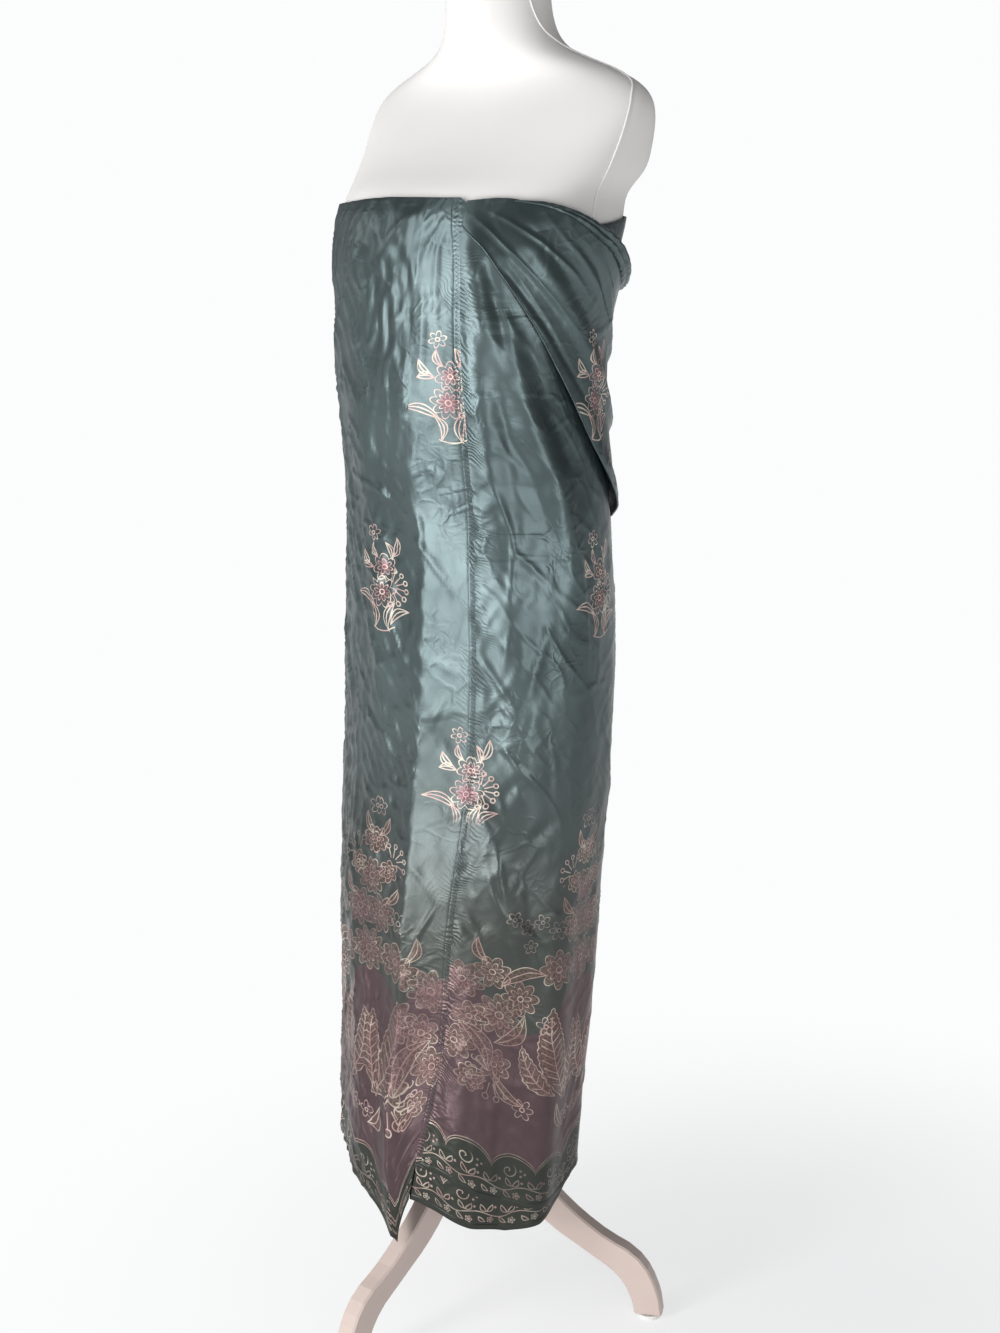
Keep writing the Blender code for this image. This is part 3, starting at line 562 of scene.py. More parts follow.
# %% Creases of the front stretch
CREASES_FRONT = read_folds([
    (5, (-64, 1196, 0), (-67.2, 1176, 1.2), (-67.4, 1130, 1), (-66, 1060, 0)),
    (10, (-118, 1190, 0), (-108, 1160, 1.2), (-99, 1120, 1.2), (-93, 1080, 0)),
    (9, (-124, 1150, 0), (-112, 1110, 1), (-104, 1060, 1.4), (-100, 1010, 0)),
    (8, (-126, 950, 0), (-118, 940, 1.6), (-102, 932, 1.4), (-96, 925, 0)),
    (8, (-106, 935, 0), (-101, 928, 1.5), (-90, 911, 1.4), (-85, 900, 0)),
    (8, (-118, 900, 0), (-108, 885, 1.6), (-94, 872, 1.2), (-88, 865, 0)),
    (9, (-126, 860, 0), (-114, 852, 1.4), (-101, 830, 1.4), (-92, 820, 0)),
    (9, (-120, 800, 0), (-111.9, 785, 1.6), (-104.5, 745, 1.6), (-93.6, 706, 0)),
    (8, (-104, 810, 0), (-98, 790, 1.4), (-91, 756, 1.2), (-88, 730, 0)),
    (8, (-117, 694, 0), (-110.5, 680, 1.4), (-101, 666, 1.4), (-99, 640, 0)),
    (7, (-121, 620, 0), (-114.2, 605, 1.2), (-104.5, 591, 0)),
    (7, (-103, 630, 0), (-98, 622, 1.4), (-89.7, 612, 0)),
    (7, (-98, 600, 0), (-93.1, 594, 1), (-88, 575, 0)),
    (8, (-112, 570, 0), (-104, 545, 1.2), (-96, 500, 1.2), (-93, 460, 0)),
    (6, (-68.5, 990, 0), (-66.7, 974, 1.2), (-63.8, 919, 1.2), (-63, 885, 0)),
    (7, (-84, 888, 0), (-80, 874, 1.6), (-73, 850, 1.6), (-64, 822, 0)),
    (6, (-78, 762, 0), (-71, 753, 1.4), (-63, 746, 0)),
    (6, (-72, 725, 0), (-76, 703, 1.4), (-79.4, 680, 0)),
    (6, (-69, 606, 0), (-65, 593, 1), (-62.5, 582, 0)),
    (6, (-84.5, 548, 0), (-79.2, 533, 1.6), (-69.8, 508, 1.8), (-63.5, 495, 0)),
    (6, (-69, 510, 0), (-73, 487, 1.6), (-78.6, 460, 1), (-81, 440, 0)),
    (6, (-80, 400, 0), (-74, 385, 1), (-68, 378, 0)),
    (5, (-84, 278, 0), (-80, 270, 1.6), (-75, 262, 0)),
    (5, (-86, 246, 0), (-81, 240, 1.4), (-77, 235, 0)),
    (5, (-82, 225, 0), (-79, 205, 1.2), (-78, 180, 0)),
    (10, (-142, 1080, 0), (-133, 1020, 1.4), (-128, 930, 1.2), (-126, 860, 0)),
    (9, (-150, 930, 0), (-140, 900, 1.4), (-131, 860, 0)),
    (9, (-158, 800, 0), (-146, 770, 1.6), (-134, 720, 1.2), (-128, 680, 0)),
    (9, (-148, 660, 0), (-140, 620, 1.4), (-134, 560, 0)),
    (9, (-172, 920, 0), (-164, 870, 1.4), (-156, 800, 0)),
    (10, (-192, 1120, 0), (-182, 1050, 1.6), (-174, 960, 1.2), (-171, 900, 0)),
    (9, (-176, 620, 0), (-168, 570, 1.4), (-158, 540, 0)),
    (9, (-156, 460, 0), (-146, 420, 1.4), (-138, 360, 0)),
    (9, (-190, 440, 0), (-180, 400, 1.4), (-170, 340, 0)),
], sharp=True) + read_folds([
    (7, (-65, 1217, 0), (-74, 1210, 1), (-84, 1196, 0.8), (-92, 1178, 0)),
    (6, (-64, 1214, 0), (-70, 1203, 1.1), (-76, 1186, 0.9), (-81, 1160, 0)),
    (5, (-63, 1210, 0), (-67, 1196, 1.1), (-71, 1174, 0.9), (-74, 1148, 0)),
    (6, (-88, 1178, 0), (-85.6, 1150, 1), (-84.6, 1110, 1), (-86, 1050, 0)),
    (5, (-79, 1168, 0), (-78.6, 1140, -1.2), (-77.6, 1090, -1.2), (-78, 1040, 0)),
    (6, (-73, 1150, 0), (-72.4, 1120, 1), (-72.8, 1070, 1), (-73.6, 1020, 0)),
    (6, (-95, 1150, 0), (-91, 1120, 1), (-90, 1070, 1), (-92, 1020, 0)),
    (9, (-98, 1190, 0), (-94, 1140, -1.2), (-92, 1090, 0)),
    (5, (-77.6, 985, 0), (-77, 955, -1.2), (-76.6, 925, 0)),
    (6, (-77.5, 690, 0), (-73, 671, -1.2), (-68, 652, 0)),
])
print("creases in the front:", len(CREASES_FRONT))

# %% Creases of the side stretch
CREASES_SIDE = read_folds([
    (7, (-48.3, 1143, 0), (-44, 1126, 1.2), (-38.5, 1102, 1.2), (-32.9, 1081, 0)),
    (9, (-59, 1150, 0), (-56.5, 1100, 1.2), (-55, 1030, 1.4), (-55, 960, 0)),
    (8, (-50.1, 955, 0), (-46.5, 930, 1.8), (-42.3, 896, 2), (-41.2, 874, 2), (-42.8, 845, 2),
     (-44.5, 810, 0)),
    (6, (-58, 889, 0), (-52, 893, 1.4), (-46, 899, 0)),
    (7, (-41.6, 876, 1), (-31.9, 857, 1.8), (-23.7, 840, 0)),
    (7, (-44, 812, 0), (-36, 827, 1.6), (-30, 839, 0)),
    (7, (-42, 812, 0), (-45, 783, 1.8), (-48.7, 745, 0)),
    (9, (-22, 812, 0), (-27, 793, 2), (-33.7, 751, 2), (-36.5, 725, 0)),
    (8, (-59, 774, 0), (-55, 760, 1.8), (-46, 730, 1.8), (-41, 710, 0)),
    (7, (-50, 727, 0), (-46.3, 715, 1.8), (-41, 700, 0)),
    (6, (-53, 692, 0), (-49, 702, 1.8), (-46, 683, 0)),
    (7, (-51, 686, 0), (-44.5, 669, 2), (-37.1, 647, 1.6), (-29, 630, 0)),
    (6, (-44.5, 670, 1), (-38, 687, 1.6), (-30, 698, 0)),
    (7, (-63, 626, 0), (-56, 615, 2), (-49.9, 603, 2), (-46, 592, 0)),
    (8, (-48, 580, 0), (-45, 555, 2.2), (-42, 525, 2.2), (-40, 505, 0)),
    (7, (-49.5, 550, 0), (-45.5, 520, 2), (-40, 495, 0)),
    (9, (-45, 512, 0), (-36, 493, 2), (-28, 475, 1.8), (-19, 458, 0)),
    (6, (-58, 503, 0), (-53, 485, 1.6), (-49.5, 472, 0)),
    (6, (-55, 461, 0), (-50, 472, 1.6), (-43.5, 487, 0)),
    (7, (-55, 466, 0), (-49.3, 447, 1.8), (-40, 430, 0)),
    (8, (-26, 700, 0), (-22, 660, 1.4), (-20, 610, 0)),
    (10, (-39.5, 330, 0), (-39, 270, 1.6), (-38, 210, 1), (-37, 180, 0)),
    (9, (-21, 310, 0), (-24, 258, 1.4), (-29.2, 215, 0)),
    (8, (-60, 360, 0), (-56, 330, 1.4), (-50, 300, 0)),
    (9, (-14, 920, 0), (-8, 870, 1.4), (-4, 800, 1.4), (-2, 740, 0)),
    (9, (4, 900, 0), (12, 850, 1.4), (17, 780, 0)),
    (9, (-12, 560, 0), (-4, 530, 1.4), (4, 480, 0)),
    (9, (10, 700, 0), (20, 660, 1.6), (30, 600, 1.2), (34, 550, 0)),
    (9, (28, 840, 0), (40, 810, 1.6), (50, 760, 0)),
    (9, (62, 800, 0), (72, 770, 1.6), (80, 710, 1.2), (84, 650, 0)),
    (9, (44, 600, 0), (52, 550, 1.4), (60, 520, 0)),
    (9, (100, 820, 0), (108, 760, 1.6), (112, 690, 0)),
    (9, (92, 560, 0), (102, 530, 1.4), (110, 470, 0)),
    (9, (132, 900, 0), (138, 830, 1.4), (142, 740, 0)),
    (9, (126, 580, 0), (134, 540, 1.4), (144, 510, 0)),
    (9, (66, 420, 0), (74, 370, 1.4), (80, 300, 0)),
    (9, (24, 420, 0), (34, 380, 1.4), (42, 310, 0)),
], sharp=True) + read_folds([
    (10, (-54, 1180, 0), (-48, 1152, -2.2), (-44, 1121, -2.4), (-40, 1082, -2), (-36, 1042, -1),
     (-31, 990, 0)),
    (9, (-36, 650, 0), (-42, 635, -2), (-48.6, 612, 0)),
    (9, (-19, 600, 0), (-27.5, 585, -2), (-35.5, 575, 0)),
    (8, (-36, 730, 0), (-38, 700, -1.6), (-43, 660, 0)),
])
print("creases in the side:", len(CREASES_SIDE))

# %% Creases of the swag
CREASES_SWAG = read_folds([
    (6, (-57, 1206, 0), (-48, 1188, 1.6), (-36, 1160, 1.6), (-22, 1125, 1.4), (-6, 1082, 1.2),
     (8, 1045, 0)),
    (5, (-54, 1211, 0), (-42, 1198, 1.2), (-28, 1178, 1.4), (-12, 1147, 1.4), (0, 1118, 0)),
    (6, (-20, 1186, 0), (-10, 1164, 1.6), (4, 1128, 1.4), (18, 1090, 0)),
    (5, (2, 1160, 0), (12, 1136, 1.4), (26, 1104, 1.4), (44, 1074, 0)),
    (7, (20, 1030, 0), (36, 996, 1.6), (56, 968, 1.6), (76, 950, 0)),
    (7, (34, 950, 0), (52, 930, 1.4), (72, 916, 1.4), (96, 920, 0)),
    (7, (48, 1096, 0), (66, 1078, 1.4), (86, 1076, 1.4), (104, 1090, 0)),
    (7, (96, 950, 0), (114, 975, 1.6), (132, 1030, 1.4), (146, 1090, 0)),
], sharp=True) + read_folds([
    (6, (-50, 1176, 0), (-38, 1142, -1.4), (-24, 1098, -1.6), (-10, 1048, -1.4), (6, 1000, 0)),
    (6, (-12, 1178, 0), (0, 1152, -1.4), (12, 1116, -1.4), (26, 1076, 0)),
    (7, (60, 1010, 0), (80, 1004, -1.4), (104, 1020, -1.4), (122, 1060, 0)),
])
print("creases in the swag:", len(CREASES_SWAG))

# %% [markdown]
# ### From folds to lifts
#
# A lift is how far a place of the cloth stands off the plain sections. Each stretch adds up its folds
# and lies over what is beneath it. Crumples are ridges of noise in two crossing directions, and a slow
# swell lets one direction fade where the other grows.

# %% Lifts
# Small crumples: how high, and how many metres between them along and across their grain
CRUMPLE_HEIGHT = 0.0012
CRUMPLE_ALONG = 0.055
CRUMPLE_ACROSS = 0.021
CRUMPLE_GRAINS = (math.radians(-52.0), math.radians(58.0))
SWELL_HEIGHT = 0.0009
SWELL_STEP = 0.085
RIDGE_SHARPNESS = 2.8
RIDGE_POWER = 2.0


def noise_at(across, up, layer):
    """Smooth noise from -1 to 1 at many places of one layer."""
    return np.array([noise.noise(Vector((x, y, layer))) for x, y in zip(across, up)])


def crumple_lift(angles, heights, layer, grains=CRUMPLE_GRAINS, width=CRUMPLE_ACROSS):
    """Small ridges in two crossing directions, over a slow swell that fades them in and out."""
    along = (angles * METRES_PER_DEGREE).ravel()
    level = heights.ravel()
    swell = noise_at(along / SWELL_STEP, level / SWELL_STEP, layer)
    lift = SWELL_HEIGHT * swell
    for number, grain in enumerate(grains):
        first = (along * math.cos(grain) + level * math.sin(grain)) / CRUMPLE_ALONG
        second = (level * math.cos(grain) - along * math.sin(grain)) / width
        fine = noise_at(first, second, layer + number)
        ridge = np.clip(1 - np.abs(fine) * RIDGE_SHARPNESS, 0.0, 1.0) ** RIDGE_POWER
        lift += CRUMPLE_HEIGHT * ridge * np.clip(0.5 + (1 - 2 * number) * swell, 0.0, 1.0)
    return lift.reshape(angles.shape)


def fold_lift(folds, angles, heights):
    """How far the folds push the cloth out at many places."""
    here = np.stack([angles * METRES_PER_DEGREE, heights], axis=-1)
    total = np.zeros(angles.shape)
    for fold in folds:
        nearest = np.full(angles.shape, np.inf)
        rise = np.zeros(angles.shape)
        for start, end in zip(fold.line, fold.line[1:]):
            first = np.array([start[0] * METRES_PER_DEGREE, start[1]])
            run = np.array([end[0] * METRES_PER_DEGREE, end[1]]) - first
            share = np.clip((here - first) @ run / (run @ run), 0.0, 1.0)
            distance = np.linalg.norm(here - first - share[..., None] * run, axis=-1)
            closer = distance < nearest
            nearest = np.where(closer, distance, nearest)
            rise = np.where(closer, between(start[2], end[2], share), rise)
        near = np.clip(nearest / fold.half_width, 0.0, 1.0)
        shape = (1 - np.sin(near * math.pi / 2)) if fold.sharp else 0.5 * (1 + np.cos(near * math.pi))
        total += rise * shape
    return total


def lap_lift(angles):
    """The side stretch climbs over the end of the front stretch at the back."""
    share = np.clip((angles - LAP_START_ANGLE) / LAP_CLIMB_DEGREES, 0.0, 1.0)
    return (CLOTH_WALL + LAP_GAP) * soft_step(share)


def front_lift(angles, heights):
    """Lift of the front stretch's outer face."""
    return fold_lift(FRONT_FOLDS, angles, heights)


def side_lift(angles, heights):
    """Lift of the side stretch's outer face, which lies over the front one at the lap."""
    over = np.where(angles > LAP_START_ANGLE, front_lift(angles - 360.0, heights), 0.0)
    return fold_lift(SIDE_FOLDS, angles, heights) + lap_lift(angles) + over


def roll_lift(angles):
    """Lift of the top roll's middle, which lies on the inner stretch."""
    return LAYER_GAP + read_curve(ROLL_LINE, angles, 2) * (1 + ROLL_LOBE)


def swag_top(angles):
    """Height of the swag's upper edge, which runs into the underside of the roll."""
    under_roll = read_curve(ROLL_LINE, angles) - read_curve(ROLL_LINE, angles, 2) * ROLL_REST
    share = np.clip((angles - ROLL_LINE[0][0]) / ROLL_JOIN_DEGREES, 0.0, 1.0)
    return between(read_curve(SWAG_TOP, angles), under_roll, share)


def swag_lift(angles, heights):
    """Lift of the swag's outer face: out to the roll at its top, and loose at its lower edge."""
    low = read_curve(SWAG_EDGE, angles)
    high = swag_top(angles)
    drop = np.clip((high - heights) / (high - low), 0.0, 1.0)
    under = side_lift(angles, heights) + CLOTH_WALL + LAYER_GAP
    to_roll = np.maximum(0.0, roll_lift(angles) - under) * (1 - drop) ** SWAG_TOP_SHARPNESS
    loose = read_curve(SWAG_STAND_OFF, angles) * drop ** SWAG_FLARE_SHARPNESS
    return under + to_roll + loose + fold_lift(SWAG_FOLDS, angles, heights)


tuck_lift = float(swag_lift(np.array([TUCK_ANGLE]), np.array([FRONT_TOP[-1][1]]))[0])
print("the swag lies", round(1000 * tuck_lift, 1), "mm off the plain sections by the tuck")

# %% [markdown]
# ## Bending a grid
#
# The helper takes the places of a grid's points, makes quads whose faces look outwards, keeps the
# flat cloth's own coordinates as a UV map, and gives the sheet its wall on the inner side.


def add_piece(name, mesh, finish):
    """Link a mesh as a smooth piece that rides on the body."""
    mesh.shade_smooth()
    mesh.materials.append(finish.material)
    piece = bpy.data.objects.new(name, mesh)
    bpy.context.scene.collection.objects.link(piece)
    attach(piece, "root")
    return piece


def grid_mesh(name, points, flat):
    """Quads over a grid of points, with the flat cloth's coordinates as the UV map."""
    rows, columns = points.shape[:2]
    here = np.arange(rows * columns).reshape(rows, columns)
    quads = np.stack([here[:-1, :-1], here[:-1, 1:], here[1:, 1:], here[1:, :-1]], axis=-1).reshape(-1, 4)
    mesh = bpy.data.meshes.new(name)
    mesh.from_pydata(points.reshape(-1, 3).tolist(), [], quads.tolist())
    layer = mesh.uv_layers.new(name="flat_cloth")
    layer.data.foreach_set("uv", flat.reshape(-1, 2)[quads.ravel()].ravel())
    return mesh


def add_sheet(name, points, flat, finish, wall=SHELL):
    """A grid with its wall on the inner side, whose narrow rim leaves the face's normals alone."""
    piece = add_piece(name, grid_mesh(name, points, flat), finish)
    thickness = piece.modifiers.new("wall", "SOLIDIFY")
    thickness.thickness = wall
    thickness.offset = -1.0
    even = piece.modifiers.new("even_normals", "WEIGHTED_NORMAL")
    even.weight = 100
    return piece


def across_and_up(columns, rows, ease=1.0):
    """Shares of the way across and up a grid."""
    return np.meshgrid(np.linspace(0.0, 1.0, columns + 1) ** ease, np.linspace(0.0, 1.0, rows + 1))


print("every grid gets a wall of", 1000 * SHELL, "mm")

# %% [markdown]
# ## The print's place on the cloth
#
# The flat cloth's coordinates are metres along the hem and metres above it. Above the knee the print
# runs level, and towards the hem it follows the hem's own line, because it is one border. Where the
# pressed pleat takes cloth in, the print skips ahead.

# %% Flat coordinates
HEM_LEVEL = 0.165
SIDE_BLEND = (0.26, 0.58)
FRONT_BLEND = (0.17, 0.38)
PLEAT_TAKES = 0.066
SIDE_SHIFT = 0.064
UNDER_SHIFT = 0.02
UNDER_SEAM_HEIGHT = 0.2095

# The outer turn's hem on the form's left, which lies above the hem of the turn beneath
OUTER_HEM = [(-76, 0.213), (-70, 0.2095), (-65.8, 0.209), (-56.5, 0.203), (-41.3, 0.184), (-25.9, 0.170),
             (-5.9, 0.164), (6, 0.170), (18, 0.186), (30, 0.190)]


def flat_places(angles, heights, hem=None, shift=0.0, blend=SIDE_BLEND):
    """Metres along the hem and above it, for places on the wrapped cloth."""
    level = np.full(angles.shape, HEM_LEVEL)
    if hem is not None:
        share = np.clip((heights - blend[0]) / (blend[1] - blend[0]), 0.0, 1.0)
        level = between(hem, HEM_LEVEL, soft_step(share))
    return np.stack([angles * METRES_PER_DEGREE + shift, heights - level], axis=-1)


print("the print runs level above", FRONT_BLEND[1], "m at the front and", SIDE_BLEND[1], "m at the side")

# %% [markdown]
# ## The batik print
#
# Batik is drawn in hot wax and dyed: the wax leaves pale outlines, and dye fills some of the shapes.
# Each motif is a signed distance, nought on its outline and negative inside, worked out from the flat
# coordinates. All the motifs share two running numbers: the distance to the nearest outline, and how
# deep inside a shape a place is. Motifs here are common batik ones in a layout of their own.

# %% Motifs
WOBBLE = 0.0022
WOBBLE_SCALE = 38.0


class Print:
    """The wax outlines and the dyed shapes of a print, gathered motif by motif."""

    def __init__(self, finish, across, up):
        self.finish = finish
        self.across = across
        self.up = up
        self.place = finish.join(across, up)
        self.outline = None
        self.dyed = None

    def keep(self, outline, dyed=None):
        """Add one shape's outline distance and its signed distance."""
        self.outline = outline if self.outline is None else self.outline.smallest(outline)
        if dyed is not None:
            self.dyed = dyed if self.dyed is None else self.dyed.smallest(dyed)

    def local(self, across, up, turn=0.0):
        """Coordinates centred and turned on a motif."""
        inputs = {0: self.place, 1: (across, up, 0.0), 2: (0.0, 0.0, math.radians(turn))}
        return self.finish.add("ShaderNodeMapping", {"vector_type": "TEXTURE"}, inputs)

    def length(self, vector):
        return self.finish.add("ShaderNodeVectorMath", {"operation": "LENGTH"}, {0: vector}, output=1)

    def blossom(self, across, up, radius, petals, turn=0.0, heart=0.16):
        """A round flower: an outer ring of petals, an inner one and a heart."""
        here = self.local(across, up, turn)
        x, y = self.finish.split(here)
        reach = self.length(here)
        bearing = y.maths("ARCTAN2", y, x)
        lobe = (bearing * (petals / 2)).cos().abs()
        edge = reach - radius * 0.66 - radius * 0.34 * lobe
        inner = (edge + radius * 0.40).abs()
        middle = (reach - radius * heart).abs()
        self.keep(edge.abs().smallest(inner).smallest(middle), edge)

    def small_flower(self, across, up, radius, petals=5, turn=0.0):
        """A little flower with an open heart."""
        here = self.local(across, up, turn)
        x, y = self.finish.split(here)
        reach = self.length(here)
        lobe = (y.maths("ARCTAN2", y, x) * (petals / 2)).cos().abs()
        edge = reach - radius * 0.45 - radius * 0.55 * lobe
        self.keep(edge.abs().smallest((reach - radius * 0.22).abs()))

    def leaf(self, across, up, length, width, turn=0.0, bend=0.0, veins=True, dyed=True, ribs=0):
        """A pointed leaf with a midrib, bent to one side; a big one has side veins and a notched edge."""
        x, y = self.finish.split(self.local(across, up, turn))
        along = x * (1 / length)
        squared = along * along
        side = y - squared * bend
        edge = side.abs() + squared * width - width
        if ribs:
            slant = (x - side.abs() * 0.8).repeat(2 * length / ribs).abs()
            edge = edge + slant * 0.35
        lines = edge.abs()
        if veins:
            lines = lines.smallest(side.abs().largest(edge + width * 0.3))
        if ribs:
            lines = lines.smallest(slant.largest(edge + width * 0.25))
        self.keep(lines, edge if dyed else None)

    def stem(self, across, up, length, bend, turn=0.0):
        """A thin bent stem."""
        x, y = self.finish.split(self.local(across, up, turn))
        side = (y - x * x * (bend / length ** 2)).abs()
        self.keep(side.largest(x.abs() - length))

    def spray(self, across, up, reach, beads, turn=0.0):
        """Fine stems that fan out from a point, each with a bead at its end."""
        here = self.local(across, up, turn)
        x, y = self.finish.split(here)
        distance = self.length(here)
        bearing = (y.maths("ARCTAN2", y, x)).repeat(2 * math.pi / beads)
        beside = distance * bearing.sin()
        ahead = distance * bearing.cos()
        past = ahead - reach
        bead = (past * past + beside * beside) ** 0.5 - reach * 0.13
        rod = beside.abs().largest(ahead - reach * 0.87).largest(reach * 0.35 - ahead)
        self.keep(bead.abs().smallest(rod).largest(0 - x))

    def dot(self, across, up, radius):
        """One open dot."""
        self.keep((self.length(self.local(across, up)) - radius).abs())


print("a print can", ", ".join(name for name in vars(Print) if not name.startswith("_")))

# %% [markdown]
# ### The bouquets on the field
#
# Small bouquets stand in rows, each row half a step along from the one below. Wrapping the flat
# coordinates repeats one drawing, so the shader works out a single bouquet.

# %% Field bouquets
BOUQUET_STEP = 0.316
BOUQUET_RISE = 0.400
BOUQUET_AT = (-0.234, 0.672)
FIELD_STARTS = (0.42, 0.44)
FIELD_ENDS = (0.965, 0.969)


def field_bouquets(finish, across, up):
    """Bouquets of two roses with buds, leaves and a spray, half-dropped over the field."""
    odd = ((across - BOUQUET_AT[0]) * (2 / BOUQUET_STEP) + 0.5).floor().modulo(2.0).abs()
    x = (across - BOUQUET_AT[0]).repeat(BOUQUET_STEP / 2)
    y = (up - BOUQUET_AT[1] + odd * (BOUQUET_RISE / 2)).repeat(BOUQUET_RISE)
    drawing = Print(finish, x, y)
    drawing.blossom(-0.001, -0.014, 0.0165, 9, 10)
    drawing.blossom(0.002, 0.012, 0.0140, 7, 40)
    drawing.small_flower(-0.010, 0.047, 0.0085, 6, 18)
    drawing.leaf(0.018, 0.033, 0.011, 0.0038, 68, 0.003, dyed=False)
    drawing.leaf(0.010, 0.030, 0.009, 0.0030, 104, 0.002, dyed=False)
    drawing.leaf(-0.026, -0.020, 0.017, 0.0042, 164, 0.005)
    drawing.leaf(-0.024, 0.019, 0.0085, 0.0034, 130, -0.003, dyed=False)
    drawing.leaf(-0.021, 0.013, 0.0085, 0.0034, 178, 0.002, dyed=False)
    drawing.leaf(-0.011, 0.028, 0.0080, 0.0028, 112, -0.003, dyed=False)
    drawing.leaf(-0.008, -0.038, 0.013, 0.0034, 100, 0.006, dyed=False)
    drawing.leaf(0.006, -0.038, 0.015, 0.0040, 80, -0.005, dyed=False)
    drawing.leaf(0.017, -0.034, 0.012, 0.0040, 40, -0.006, dyed=False)
    drawing.stem(0.001, -0.054, 0.014, 0.004, 4)
    drawing.spray(0.010, -0.008, 0.018, 13, -8)
    return drawing


print("a bouquet every", BOUQUET_STEP, "m, in rows", BOUQUET_RISE / 2, "m apart")

# %% [markdown]
# ### The border
#
# The border repeats every 0.316 m and each repeat is mirrored about its tall bouquet. A mauve ground
# lies under its flowers, and a scalloped double line parts it from the dark strip at the hem.

# %% Border flowers
BORDER_STEP = 0.316
BORDER_AT = -0.240


def border_flowers(finish, across, up):
    """One half of the border's repeat: a tall bouquet at nought, and a mass of flowers beside it."""
    x = (across - BORDER_AT + BORDER_STEP * 4).mirror(BORDER_STEP / 2)
    drawing = Print(finish, x, up)
    drawing.small_flower(0.003, 0.427, 0.010, 5, 20)
    drawing.leaf(0.014, 0.405, 0.012, 0.0040, 60, 0.003)
    drawing.blossom(0.004, 0.392, 0.014, 7, 12)
    drawing.blossom(0.022, 0.362, 0.012, 6, 30)
    drawing.blossom(0.001, 0.352, 0.019, 9, 0)
    drawing.spray(0.026, 0.372, 0.018, 11, 50)
    drawing.leaf(0.033, 0.335, 0.013, 0.0045, 50, 0.004)
    drawing.blossom(0.015, 0.315, 0.021, 9, 22)
    drawing.small_flower(0.043, 0.312, 0.011, 6, 0)
    drawing.blossom(0.000, 0.272, 0.024, 11, 8)
    drawing.blossom(0.040, 0.268, 0.022, 8, 0)
    drawing.small_flower(0.062, 0.322, 0.0085, 5, 0)
    drawing.small_flower(0.079, 0.316, 0.0085, 5, 25)
    drawing.small_flower(0.093, 0.326, 0.0085, 5, 50)
    drawing.small_flower(0.074, 0.294, 0.0080, 5, 10)
    drawing.leaf(0.082, 0.262, 0.026, 0.0075, 158, 0.010)
    drawing.blossom(0.112, 0.258, 0.020, 8, 20)
    drawing.blossom(0.143, 0.243, 0.024, 9, 0)
    drawing.leaf(0.128, 0.283, 0.015, 0.0050, 70, 0.005)
    drawing.leaf(0.040, 0.168, 0.058, 0.0190, 74, 0.012, ribs=13)
    drawing.leaf(0.006, 0.160, 0.046, 0.0130, 100, -0.008, ribs=11)
    drawing.leaf(0.064, 0.146, 0.034, 0.0110, 52, 0.010, ribs=8)
    drawing.blossom(0.082, 0.232, 0.021, 8, 40)
    drawing.blossom(0.104, 0.206, 0.026, 10, 12)
    drawing.blossom(0.134, 0.196, 0.020, 7, 30)
    drawing.leaf(0.084, 0.186, 0.026, 0.0080, 128, -0.010)
    drawing.leaf(0.120, 0.168, 0.030, 0.0085, 58, -0.010)
    drawing.blossom(0.148, 0.160, 0.022, 8, 5)
    drawing.blossom(0.106, 0.146, 0.019, 7, 0)
    drawing.blossom(0.130, 0.122, 0.016, 7, 0)
    drawing.leaf(0.092, 0.118, 0.022, 0.0065, 34, 0.008)
    drawing.small_flower(0.070, 0.108, 0.011, 6, 0)
    drawing.spray(0.108, 0.132, 0.024, 12, -50)
    drawing.small_flower(0.052, 0.205, 0.010, 5, 10)
    drawing.leaf(0.026, 0.096, 0.018, 0.0055, 60, 0.006)
    drawing.small_flower(0.010, 0.096, 0.009, 5, 30)
    return drawing


print("the border repeats every", BORDER_STEP, "m")

# %% [markdown]
# ### The strip at the hem
#
# The strip is small work, so its period is short: a scallop, a curl, three dots and a wave of the vine
# every 46 mm. The curl is a spiral, made by letting the distance from its middle grow with the
# bearing. The leaves and little flowers beside the vine come twice as often.

# %% The strip at the hem
SCALLOP_STEP = 0.046
SCALLOP_FOOT = 0.040
SCALLOP_RISE = 0.017
SCALLOP_PAIR = 0.0030
CURL_START = 0.0012
CURL_GROWTH = 0.00105
CURL_STEP = 0.0066
CURL_RADIUS = 0.0078
VINE_LEVEL = 0.0185
VINE_SWING = 0.0030


